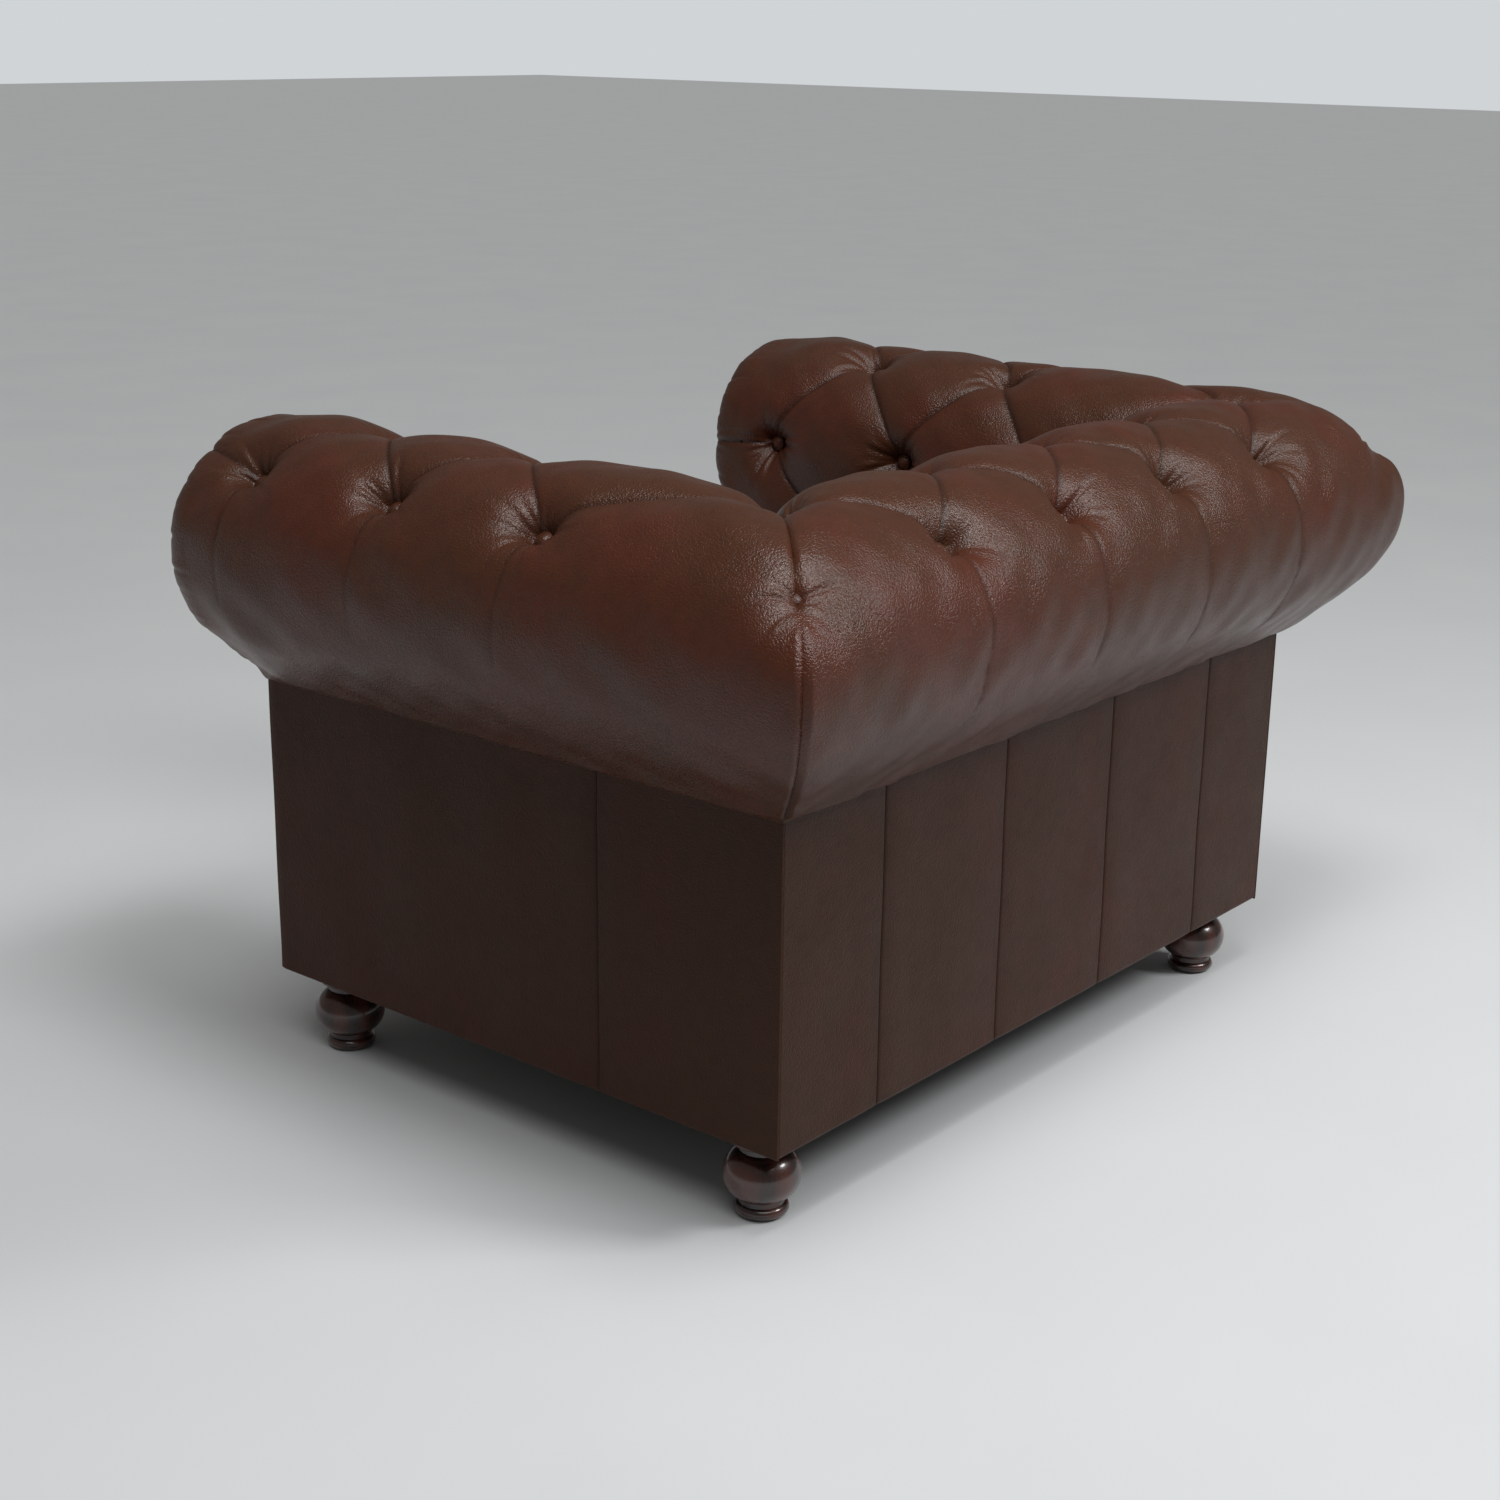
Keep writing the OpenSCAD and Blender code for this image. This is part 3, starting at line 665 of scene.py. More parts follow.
def leather_depth(s, t, run):
    """Relaxed pillows, plus the sharp line in each fold, button dishes, wrinkles and slow waves. Also gives
    how far each place lies in a fold's groove, 0 to 1, which the material darkens as painted shade."""
    distance, _, sharp = (a.reshape(s.shape) for a in to_folds(s, t, run["folds"], 40 * MM))
    depth = sample(run["field"], s, t)
    depth = depth + sharp * np.exp(-distance / (1.9 * MM))
    swell = 7 * MM * (1 - np.clip(depth / (20 * MM), 0, 1))
    depth = depth - swell
    for s0, t0, _, _ in run["rays"]:
        depth = depth + 11 * MM * np.exp(-((s - s0) ** 2 + (t - t0 - 10 * MM) ** 2) / (29 * MM) ** 2)
    depth = depth + wrinkle_rays(s, t, run["rays"], run["seed"]) + unevenness(s, t, run["seed"] + 1)
    if run["fronts"]:
        depth = depth + front_gathers(s, t, run["seed"] + 2)
        depth = depth + 9 * MM * (1 - smoothstep(s, front_y - 10 * MM, front_y + 75 * MM))
    for row, s0, t0 in run["buttons"]:
        near = smoothstep(-np.hypot(s - s0, t - t0), -13 * MM, -8 * MM)
        depth = depth * (1 - near) + row_depth[row] * near
    # painted shade: how far a place lies in a crease, which the material darkens
    crease_shade = np.exp(-distance / (1.6 * MM)) * np.minimum(sharp / (2.6 * MM), 1)
    return np.minimum(depth, 33.5 * MM) * tacked(t), crease_shade


def prepare(s_range, folds, buttons, corners, seed, fronts):
    """Everything about one run of upholstery: its folds, buttons, relaxed field and wrinkle places."""
    rays = [(s0, t0, blocked_headings(s0, t0, folds), 22) for _, s0, t0 in buttons]
    rays += [(s0, t0, blocked_headings(s0, t0, folds), 34) for s0, t0 in corners]
    return {"folds": folds, "buttons": buttons, "field": relax(s_range, folds, buttons), "rays": rays,
            "seed": seed, "fronts": fronts}


arm_run = prepare((front_s, back_y + roll_bulge), arm_folds, button_places(arm_full, arm_half),
                  [corner_place(row, back_y) for row in "AB"], 11, True)
back_run = prepare((-side_x - roll_bulge, side_x + roll_bulge), back_folds,
                   button_places(back_full, back_half),
                   [corner_place(row, side_x, sign) for row in "AB" for sign in (-1, 1)], 23, False)
print(f"deepest relaxed leather {1000 * back_run['field']['depth'].max():.1f} mm")

# %% [markdown]
# ## The buttoned arms and back
#
# Each is one closed, padded piece. Its leather face is a grid: rows go round the outline, columns along the
# arm from the rounded front edge to the mitred corner, where arm and back end in exactly the same line.
# Behind, it closes on the curved board and the frame.

# %% Buttoned surfaces
CELL = 2.4 * MM
t_rows = np.linspace(0, girth, int(girth / CELL))
face_t, face_n = on_outline(t_rows)
mitre_edge = face_t - (mitre_depth(t_rows) * tacked(t_rows))[:, None] * face_n


def inner_line(t):
    """The padding's inside: on the curved board's radius round the roll, and a straight line below it."""
    point, normal = on_outline(t)
    thick = 0.5 * MM + 35.5 * MM * smoothstep(t, 0, 100 * MM)
    thick = thick + 24 * MM * smoothstep(t, t_at_angle(185), t_at_angle(200) + 0.03)
    return point - thick[:, None] * normal


def main_face(run, corner, both_mitred):
    """Grid of one run: s between its two ends on every row, depth inward along the outline's normal.
    A mitred end takes the seam's own depth and lies on the 45 degree plane."""
    high = corner + mitre_edge[:, 0]
    low = -high if both_mitred else np.full(len(t_rows), front_y)
    count = int((high.mean() - low.mean()) / CELL)
    u = np.linspace(0, 1, count)[:, None]
    s = low * (1 - u) + high * u
    t = np.broadcast_to(t_rows, s.shape)
    depth, crease_shade = leather_depth(s, t, run)
    seam = mitre_depth(t) * tacked(t)
    for end in ((low, high) if both_mitred else (high,)):
        near = np.exp(-(np.abs(s - end) / (1.6 * MM)) ** 2)
        depth = depth * (1 - near) + seam * near
    point = face_t - depth[..., None] * face_n
    return s, point[..., 0], point[..., 1], crease_shade


def collar(run, full_turn=138, steps=26):
    """The rounded front end: from the front plane the leather turns in along a half oval, so that its depth
    direction turns from the outline's normal to straight ahead. It swells most round the roll."""
    swell = smoothstep(t_rows, 0.02, 0.12) * (1 - smoothstep(t_rows, t_at_angle(186), t_at_angle(196) + 0.06))
    ahead = (10 + 34 * swell) * MM
    inward = (18 + 4 * swell) * MM
    turn = np.radians(np.linspace(full_turn, 0, steps))[:, None]
    s = np.broadcast_to(front_y - collar_run * turn / math.radians(full_turn), (steps, len(t_rows)))
    t = np.broadcast_to(t_rows, s.shape)
    depth, crease_shade = leather_depth(s, t, run)
    depth = depth * np.cos(turn * 0.62)
    lean = np.sin(np.minimum(turn, math.pi / 2))
    drawn = inward * (1 - np.cos(turn)) + depth * np.sqrt(1 - lean ** 2 * 0.96)
    point = face_t - drawn[..., None] * face_n
    y = front_y - ahead * np.sin(turn) + depth * lean
    return y, point[..., 0], point[..., 1], crease_shade


def upholstery(name, run, where, replaced, is_arm):
    """Closes a leather grid into a solid: two end walls, inner wall, and two long edge faces. where turns
    (s, w, z) into the chair's coordinates."""
    corner = back_y if is_arm else side_x
    s, w, z, crease_shade = main_face(run, corner, both_mitred=not is_arm)
    if is_arm:
        grids = zip(collar(run), (s, w, z, crease_shade))
        s, w, z, crease_shade = (np.concatenate([turned_in[:-1], flat]) for turned_in, flat in grids)
    rows, cols = s.shape
    inner = inner_line(t_rows)
    mitre = corner + inner[:, 0]
    inner_low = np.full(cols, front_y) if is_arm else -mitre
    points = [np.stack([s, w, z], -1).reshape(-1, 3)]
    points += [np.stack([along, inner[:, 0], inner[:, 1]], -1) for along in (inner_low, mitre)]
    points = np.concatenate(points)
    face = rows * cols
    last = face - cols
    j = np.arange(cols - 1)
    low_wall = np.stack([j + 1, j, face + j, face + j + 1], -1)
    inner_wall = np.stack([face + j, face + j + 1, face + cols + j + 1, face + cols + j], -1)
    high_wall = np.stack([face + cols + j, face + cols + j + 1, last + j + 1, last + j], -1)
    along = np.arange(rows) * cols
    bottom = np.concatenate([[face + cols, face], along])
    top = np.concatenate([[face + cols - 1, face + 2 * cols - 1], along[::-1] + cols - 1])
    faces = [grid_faces(rows, cols), low_wall, inner_wall, high_wall, bottom, top]
    places = where(points)
    if np.linalg.det(where(np.eye(3)) - where(np.zeros((3, 3)))) > 0:
        faces = [f[..., ::-1] for f in faces]
    piece = make_piece(name, places, faces, material=LEATHER)
    # painted shade: the fold attribute darkens the creases in the material
    store(piece, "fold", np.concatenate([np.clip(crease_shade, 0, 1).ravel(), np.zeros(2 * cols)]))
    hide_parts(*replaced)
    return piece


def as_arm(sign):
    return lambda p: np.stack([sign * (side_x + p[:, 1]), p[:, 0], p[:, 2]], -1)


def as_back(p):
    return np.stack([-p[:, 0], back_y + p[:, 1], p[:, 2]], -1)


for side, sign in (("left", 1), ("right", -1)):
    upholstery(f"buttoned_arm_{side}", arm_run, as_arm(sign),
               (f"arm_leather_{side}", f"arm_padding_{side}"), True)
upholstery("buttoned_back", back_run, as_back, ("back_leather", "back_padding"), False)

# %% [markdown]
# ## Covered buttons
#
# A button is a small tin dome under leather, pulled down to the board. Each is a turned shape: a profile from
# its crown out to a rolled rim, spun round the direction in which the padding faces there. Those of one run
# make one piece.

# %% Buttons
def turned(profile, place, axis, sectors=28):
    """Points of a profile (r, h) spun round axis from place: place + r (cos a X + sin a Y) + h axis."""
    axis = np.array(axis, float) / np.linalg.norm(axis)
    x = np.cross(axis, [0, 0, 1] if abs(axis[2]) < 0.9 else [1, 0, 0])
    x /= np.linalg.norm(x)
    y = np.cross(axis, x)
    a = np.linspace(0, 2 * math.pi, sectors, endpoint=False)
    ring = np.cos(a)[:, None] * x + np.sin(a)[:, None] * y
    return place + profile[:, None, :1] * ring + profile[:, None, 1:] * axis


def button_profile(radius=10.5 * MM, height=5 * MM, roll=1.6 * MM):
    """From the underside round a rolled rim to a domed crown."""
    a = np.linspace(-0.5 * math.pi, 0.5 * math.pi, 7)
    rim = np.stack([radius - roll + roll * np.cos(a), roll * np.sin(a)], -1)
    r = np.linspace(radius - roll, 0, 9)[1:]
    dome = np.stack([r, roll + height * (1 - (r / radius) ** 2) - height * 0.28], -1)
    return np.concatenate([[[0.0, -roll]], rim, dome])


def button_group(name, seats, replaced):
    """One piece from a button on each (place, outward direction)."""
    profile = button_profile()
    shapes = [turned(profile, np.array(place), axis) for place, axis in seats]
    rows, cols = shapes[0].shape[:2]
    faces = np.concatenate([grid_faces(rows, cols, k * rows * cols, wrap_cols=True)
                            for k in range(len(shapes))])
    piece = make_piece(name, np.concatenate([s.reshape(-1, 3) for s in shapes]), faces,
                       material=LEATHER, weld=0.01 * MM, outward=True)
    store(piece, "fold", np.zeros(len(piece.data.vertices)))
    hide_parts(replaced)


def run_seats(run, frame_of):
    """Places and directions of the buttons of one run, on the sunk leather."""
    seats = []
    for row, s, t in run["buttons"]:
        point, normal = (a[0] for a in on_outline(np.array([t])))
        sunk = point - (row_depth[row] - 1.2 * MM) * normal
        line = frame_of(np.array([[s, *sunk], [s, *(sunk + normal)]]))
        seats.append((line[0], line[1] - line[0]))
    return seats


for side, sign in (("left", 1), ("right", -1)):
    button_group(f"sunk_buttons_{side}", run_seats(arm_run, as_arm(sign)), f"arm_buttons_{side}")
corner_seats = []
for row in "AB":
    point, normal = (a[0] for a in on_outline(np.array([corner_t[row]])))
    point = point - (corner_depth[row] - 1.5 * MM) * normal
    for sign in (-1, 1):
        corner_seats.append(((sign * (side_x + point[0]), back_y + point[0], point[1]),
                             (sign * normal[0], normal[0], normal[1])))
button_group("sunk_buttons_back", run_seats(back_run, as_back) + corner_seats, "back_buttons")
print(f"{2 * len(arm_run['buttons']) + len(back_run['buttons']) + 4} buttons")

# %% [markdown]
# ## Outer panels
#
# Sides, back and front border are leather pulled flat over thin wadding and tacked out of sight. Each is a
# strip in plan view, carried up in z. Its edges round over, and where two widths of hide are joined, a fine
# seam pulls a groove that the wadding swells up to. Sample lines crowd at seams and edges.

# %% Stretched panels
def crowded(low, high, seams=(), step=7 * MM):
    """Sample places from low to high: even, and closer together at both ends and at seams."""
    marks = [np.linspace(low, high, max(int((high - low) / step), 2))]
    near = np.array([0.35, 0.8, 1.5, 2.4, 3.6, 5.2]) * MM
    marks += [low + near, high - near] + [np.concatenate([c - near, [c], c + near]) for c in seams]
    return np.unique(np.round(np.concatenate(marks), 6))


def round_over(distance, radius):
    """How far a quarter-round edge has dropped at a distance from its rim."""
    d = np.clip(distance, 0, radius)
    return radius - np.sqrt(radius ** 2 - (radius - d) ** 2)


def stretched_panel(name, corners, z_range, seams, replaced, seed, thick=6 * MM, edge=5 * MM):
    """A strip whose plan line runs through corners, turning on 8 mm radii, with its outer side on the left
    hand. Height above the plan line is minus the edges' rounding and the seams' grooves, plus slow waves."""
    corners = np.array(corners, float)
    line = [corners[0]]
    for before, corner, after in zip(corners, corners[1:], corners[2:]):
        p, q = ((one - corner) / np.linalg.norm(one - corner) for one in (before, after))
        v = np.linspace(0, 1, 9)[:, None]
        line += list(corner + 8 * MM * (p * (1 - v) ** 2 + q * v ** 2))
    line = np.array(line + [corners[-1]])
    run = distance_along(line)
    u, z = crowded(0, run[-1], seams), crowded(*z_range)
    at = read_line(u, run, line)
    along = np.gradient(at, u, axis=0)
    along /= np.linalg.norm(along, axis=1)[:, None]
    out = np.stack([-along[:, 1], along[:, 0]], -1)
    uu, zz = np.meshgrid(u, z, indexing="ij")
    from_low, from_start, from_end = zz - z_range[0], uu, run[-1] - uu
    drop = round_over(from_low, edge) + round_over(z_range[1] - zz, 2 * MM)
    drop = drop + round_over(from_start, 1.2 * MM) + round_over(from_end, 1.2 * MM)
    groove = np.zeros(uu.shape)
    for seam in seams:
        off = np.abs(uu - seam)
        groove += 1.5 * MM * np.exp(-off / (1.3 * MM)) + 0.8 * MM * np.exp(-(off / (16 * MM)) ** 2)
    fade = math.prod(smoothstep(distance, 0, 30 * MM) for distance in (from_low, from_start, from_end))
    swell = np.minimum(unevenness(uu * 0.45, zz * 0.45, seed, 0.7 * MM) * fade, 0.8 * MM)
    sunk = np.minimum(drop + groove, thick - 0.4 * MM) - swell
    face = at[:, None] - sunk[..., None] * out[:, None]
    back = at - thick * out
    flat = np.concatenate([face, np.stack([back, back], 1)], 1)
    back_heights = np.broadcast_to([z_range[1], z_range[0]], (len(u), 2))
    height = np.concatenate([zz, back_heights], 1)
    points = np.concatenate([flat, height[..., None]], -1)
    rows, cols = height.shape
    first, last = np.arange(cols)[::-1], np.arange(cols) + (rows - 1) * cols
    faces = [grid_faces(rows, cols, wrap_cols=True), first, last]
    piece = make_piece(name, points, faces, material=SHADED_PANEL_LEATHER, outward=True,
                       crisp=50)
    # painted shade: the seam grooves darken towards the panel leather's dark colour through the fold
    # attribute
    crease_shade = np.concatenate([np.clip(groove / (5 * MM), 0, 0.4), np.zeros((rows, 2))], 1)
    store(piece, "fold", crease_shade)
    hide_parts(replaced)


panel_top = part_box("outer_panel_back")[1].z
wall_x = side_x - 3.2 * MM
return_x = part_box("outer_panel_left")[0].x
lip_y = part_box("outer_panel_left")[0].y
side_run = back_y - lip_y
side_path = [(side_x, back_y), (side_x, lip_y), (return_x, lip_y)]
side_seam = 245 * MM
stretched_panel("side_panel_left", side_path, (body_z, panel_top), [side_seam], "outer_panel_left",
                thick=3 * MM, edge=2.8 * MM, seed=3)
# The right seam is counted from the other end of the strip, which its rounded corner makes 3 mm shorter.
stretched_panel("side_panel_right", [(-x, y) for x, y in side_path[::-1]], (body_z, panel_top),
                [side_x - return_x + side_run - side_seam - 3 * MM], "outer_panel_right",
                thick=3 * MM, edge=2.8 * MM, seed=5)
back_seams = [wall_x + x for x in (-327.6 * MM, -108 * MM, 108 * MM, 327.6 * MM)]
stretched_panel("back_panel", [(-wall_x, back_y), (wall_x, back_y)], (body_z, panel_top), back_seams,
                "outer_panel_back", seed=8)
border_low, border_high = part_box("front_border")
stretched_panel("front_border_panel", [(border_high.x, border_low.y), (border_low.x, border_low.y)],
                (border_low.z, border_high.z), [], "front_border", thick=8 * MM, seed=9)

# %% [markdown]
# ## Arm fronts
#
# The arm's front is closed by a board, shaped like the scroll with its straight stem, and covered with
# crowned leather inside a corded welt. Across each height the piece is a lens: its edge stands straight,
# a round bead follows it, and from there it swells slowly with the distance from the outline.

# %% Scroll facings
facing_low, facing_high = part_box("scroll_facing_left")
facing_r = facing_high.z - roll_z
stem = (-arm_t + 22 * MM, -22 * MM)
stem_top = 410 * MM
welt_r = 3.6 * MM


def facing_profile(d):
    """How far the front stands out: a round welt at the edge, a groove, then a slow crown."""
    past = d - 2 * welt_r
    bead = welt_r * np.sqrt(np.clip(1 - ((d - welt_r) / welt_r) ** 2, 0, 1))
    crown = 6.5 * MM * (1 - np.exp(-np.clip(past, 0, None) / (13 * MM)))
    groove = 0.8 * MM * np.exp(-np.abs(past) / MM)
    return 15.5 * MM + np.where(past < 0, bead, crown - groove)


def scroll_facing(side, sign):
    """Columns run across the scroll, crowded at its edges; rows go up, crowded at its foot and top."""
    angle = np.linspace(-math.pi / 2, math.pi / 2, 110)
    z_disc = roll_z + facing_r * np.sin(angle)
    z = [facing_low.z + crowded(0, stem_top), z_disc[z_disc > facing_low.z + stem_top - 5 * MM]]
    z = np.unique(np.concatenate(z))
    z[-1] = roll_z + facing_r
    half = np.sqrt(np.clip(facing_r ** 2 - (z - roll_z) ** 2, 0, None))
    disc_left, disc_right = roll_w - half, roll_w + half
    left = np.where(z > roll_z, disc_left, np.minimum(stem[0], disc_left))
    right = np.where(z > roll_z, disc_right, np.maximum(stem[1], disc_right))
    u = (1 - np.cos(np.linspace(0, math.pi, 84))) / 2
    w = left[:, None] + (right - left)[:, None] * u
    zz = np.broadcast_to(z[:, None], w.shape)
    foot = np.stack([np.linspace(*stem, 60), np.full(60, facing_low.z)], -1)
    rim = np.concatenate([np.stack([left, z], -1), np.stack([right, z], -1)[::-1], foot])
    rim = np.concatenate([rim, (rim + np.roll(rim, 1, 0)) / 2])
    parts = np.array_split(np.stack([w, zz], -1).reshape(-1, 2), 12)
    distance = np.concatenate([np.linalg.norm(p[:, None] - rim, axis=-1).min(1) for p in parts])
    distance = np.minimum(distance.reshape(w.shape), np.minimum(w - left[:, None], right[:, None] - w))
    distance = np.minimum(distance, zz - facing_low.z)
    waves = unevenness(w, zz, 31, 0.6 * MM) * smoothstep(distance, 10 * MM, 40 * MM)
    front = front_y - facing_profile(np.maximum(distance, 0)) + waves
    y = np.concatenate([front, np.full((len(z), 2), front_y)], 1)
    w = np.concatenate([w, right[:, None], left[:, None]], 1)
    zz = np.broadcast_to(z[:, None], w.shape)
    points = np.stack([sign * (side_x + w), y, zz], -1)
    rows, cols = y.shape
    faces = [grid_faces(rows, cols, wrap_cols=True), np.arange(cols)]
    piece = make_piece(f"arm_front_{side}", points, faces, material=SHADED_PANEL_LEATHER,
                       weld=0.02 * MM, outward=True)
    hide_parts(f"scroll_facing_{side}")


for side, sign in (("left", 1), ("right", -1)):
    scroll_facing(side, sign)

# %% [markdown]
# ## The loose seat cushion
#
# A leather case full of feather and foam bulges between its seams, which keep their length. That is a job
# for Cloth: a box of fine mesh is blown up with a little pressure while its seam lines are pinned. What
# comes out is the crown and the soft sides; the corded welts are laid along the pinned seams afterwards.

# %% Seat cushion
cushion_low, cushion_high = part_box("cushion_cover")
half_w = cushion_high.x - 5 * MM
half_d = (cushion_high.y - cushion_low.y) / 2 - 5 * MM
cushion_mid = np.array([0, (cushion_low.y + cushion_high.y) / 2, (cushion_low.z + cushion_high.z) / 2])
seam_up = 44 * MM
crown_up = 17 * MM


def rounded_rectangle(a, half_x, half_y, power=2 / 14):
    """A rectangle with soft corners (a superellipse), walked by angle a from its middle."""
    c, s = np.cos(a), np.sin(a)
    x, y = np.sign(c) * np.abs(c) ** power, np.sign(s) * np.abs(s) ** power
    return np.stack([x * half_x, y * half_y], -1)


def seam_curve(height, count):
    """The seam at a height above or below the middle: a rounded rectangle, evenly sampled."""
    a = np.linspace(0, 2 * math.pi, 6000, endpoint=False)
    flat = rounded_rectangle(a, half_w, half_d)
    closed = np.concatenate([flat, flat[:1]])
    run = distance_along(closed)
    even_line = read_line(np.linspace(0, run[-1], count, endpoint=False), run, closed)
    return np.concatenate([even_line + cushion_mid[:2], np.full((count, 1), cushion_mid[2] + height)], -1)


def cushion_case(steps=46):
    """The case before the simulation: rings from the lower pole through both seams to the upper pole."""
    rings = []
    for sign in (-1, 1):
        edge = seam_curve(sign * seam_up, 520) - cushion_mid
        scales = np.linspace(0, 1, steps + 1)[1:] if sign < 0 else np.linspace(1, 0, steps + 1)[:-1]
        for k in scales:
            ring = edge * [k, k, 1]
            ring[:, 2] = sign * (seam_up + crown_up * (1 - k ** 3.2))
            rings.append(ring)
        if sign < 0:
            for lift in np.linspace(-1, 1, 17)[1:-1]:
                rings.append(edge * [1, 1, -lift])
    points = np.array(rings)
    count, cols = points.shape[:2]
    pole_low, pole_high = [0, 0, -seam_up - crown_up], [0, 0, seam_up + crown_up]
    points = np.concatenate([points.reshape(-1, 3), [pole_low, pole_high]]) + cushion_mid
    last = (count - 1) * cols
    j = np.arange(cols)
    faces = [grid_faces(count, cols, wrap_cols=True),
             np.stack([np.full(cols, count * cols), (j + 1) % cols, j], -1),
             np.stack([np.full(cols, count * cols + 1), last + j, last + (j + 1) % cols], -1)]
    return make_piece("seat_cushion_case", points, faces, body="seat_cushion",
                      material=CUSHION_LEATHER, weld=0.01 * MM, outward=True)


def inflate(piece, seams, frames=20, cap=24 * MM):
    """Remeshes evenly, pins the points near the seams, runs Cloth with pressure, and gives back the points,
    each moved by cap at most."""
    remesh = piece.modifiers.new("even", "REMESH")
    remesh.mode, remesh.voxel_size = "VOXEL", 6 * MM
    bpy.context.view_layer.objects.active = piece
    piece.select_set(True)
    bpy.ops.object.modifier_apply(modifier="even")
    start = vertex_places(piece.data)
    parts = np.array_split(start, 60)
    gap = np.concatenate([np.linalg.norm(p[:, None] - seams, axis=-1).min(1) for p in parts])
    pins = piece.vertex_groups.new(name="seams")
    pins.add(np.nonzero(gap < 6 * MM)[0].tolist(), 1.0, "REPLACE")
    cloth = piece.modifiers.new("case", "CLOTH")
    settings = cloth.settings
    settings.use_pressure, settings.uniform_pressure_force = True, 9.0
    settings.effector_weights.gravity = 0.0
    settings.vertex_group_mass = "seams"
    settings.tension_stiffness = settings.compression_stiffness = 8
    settings.bending_stiffness, settings.quality = 0.8, 5
    cloth.point_cache.frame_end = frames
    for frame_number in range(1, frames + 1):
        bpy.context.scene.frame_set(frame_number)
    graph = bpy.context.evaluated_depsgraph_get()
    move = vertex_places(piece.evaluated_get(graph).data) - start
    piece.modifiers.remove(cloth)
    bpy.context.scene.frame_set(1)
    size = np.linalg.norm(move, axis=1)
    print(f"cushion: {len(start)} points, largest move {1000 * size.max():.1f} mm")
    return start + move * (np.minimum(size, cap) / np.maximum(size, 1e-9))[:, None]


CUSHION_LEATHER = leather("cushion_leather", rgb(68, 37, 21), rgb(76, 35, 21), rgb(20, 9, 6), 0.34,
                          gloss=0.36, grain=0.9)
case = cushion_case()
seam_lines = np.concatenate([seam_curve(-seam_up, 1200), seam_curve(seam_up, 1200)])
placed = inflate(case, seam_lines)
placed[:, 2] = np.maximum(placed[:, 2], cushion_low.z + 0.5 * MM)
placed[:, 0] = np.clip(placed[:, 0], -cushion_high.x + MM, cushion_high.x - MM)
placed[:, 1] = np.clip(placed[:, 1], cushion_low.y - 8 * MM, cushion_high.y - 2 * MM)
case.data.vertices.foreach_set("co", placed.ravel().astype(np.float32))
case.data.update()
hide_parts("cushion_cover", "cushion_foam")

# %% [markdown]
# ### Corded welts
#
# A welt is a cord in a strip of leather, sewn into the seam. Here it is a ring of 12 sides, swept along the
# same curve that the seam was pinned to.

# %% Welts along the cushion's seams
def closed_cord(name, path, radius, sectors=12):
    """A round cord on a closed level path: ring points = path + radius (cos b outward + sin b up)."""
    along = np.roll(path, -1, 0) - np.roll(path, 1, 0)
    along /= np.linalg.norm(along, axis=1)[:, None]
    out = np.cross(along, [0, 0, 1])
    b = np.linspace(0, 2 * math.pi, sectors, endpoint=False)
    ring = np.cos(b)[None, :, None] * out[:, None] + np.sin(b)[None, :, None] * np.array([0, 0, 1.0])
    points = path[:, None] + radius * ring
    make_piece(name, points, grid_faces(*points.shape[:2], wrap_rows=True, wrap_cols=True),
               body="seat_cushion", material=CUSHION_LEATHER, outward=True)


for end, height in (("lower", -seam_up), ("upper", seam_up)):
    closed_cord(f"cushion_welt_{end}", seam_curve(height, 700), 3.4 * MM)

# %% [markdown]
# ## Deck cloth and dust cover
#
# Two plain cloths close the seat: a black lining stretched over the deck pad, seen when the cushion is
# lifted, and a thin black one tacked under the frame. Each is a shallow sheet with a real thickness that
# dips a little between its tacked edges.

# %% Cloths
BLACK_CLOTH = Shader("black_cloth", Roughness=0.92, Specular_IOR_Level=0.25)
threads = BLACK_CLOTH.cells(900, place=BLACK_CLOTH.stretched((1.0, 1.6, 1.0)))
BLACK_CLOTH.set(Base_Color=BLACK_CLOTH.mix(BLACK_CLOTH.noise(40, 4.0), rgb(24, 24, 25), rgb(40, 39, 38)),
                Normal=BLACK_CLOTH.bump(threads, 0.3 * MM, 0.7))
BLACK_CLOTH = BLACK_CLOTH.material


def stretched_sheet(name, node, dip, thick):
    """A closed thin sheet over a node's place, whose height dips by dip x (1 - x^4)(1 - y^4)."""
    low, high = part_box(node)
    x, y = np.linspace(low.x, high.x, 90), np.linspace(low.y, high.y, 80)
    xx, yy = np.meshgrid(x, y, indexing="ij")
    a, b = ((v - v.mean()) / (v.max() - v.mean()) for v in (xx, yy))
    waves = unevenness(xx, yy, 41, 0.25 * abs(dip)) * (1 - a ** 8) * (1 - b ** 8)
    z = low.z + 0.2 * MM + dip * (1 - a ** 4) * (1 - b ** 4) + waves
    top, under = np.stack([xx, yy, z + thick], -1), np.stack([xx, yy, z], -1)
    rows, cols = xx.shape
    count = rows * cols
    rim = np.concatenate([np.arange(cols), np.arange(1, rows) * cols + cols - 1,
                          (rows - 1) * cols + np.arange(cols - 2, -1, -1), np.arange(rows - 2, 0, -1) * cols])
    wall = np.stack([rim, np.roll(rim, -1), np.roll(rim, -1) + count, rim + count], -1)
    faces = [grid_faces(rows, cols), grid_faces(rows, cols, count)[:, ::-1], wall]
    piece = make_piece(name, np.concatenate([top.reshape(-1, 3), under.reshape(-1, 3)]), faces,
                       material=BLACK_CLOTH, outward=True)
    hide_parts(node)


stretched_sheet("deck_lining", "deck_cloth", 0.4 * MM, thick=0.9 * MM)
stretched_sheet("bottom_lining", "dust_cover", -2.5 * MM,
                thick=0.8 * MM)

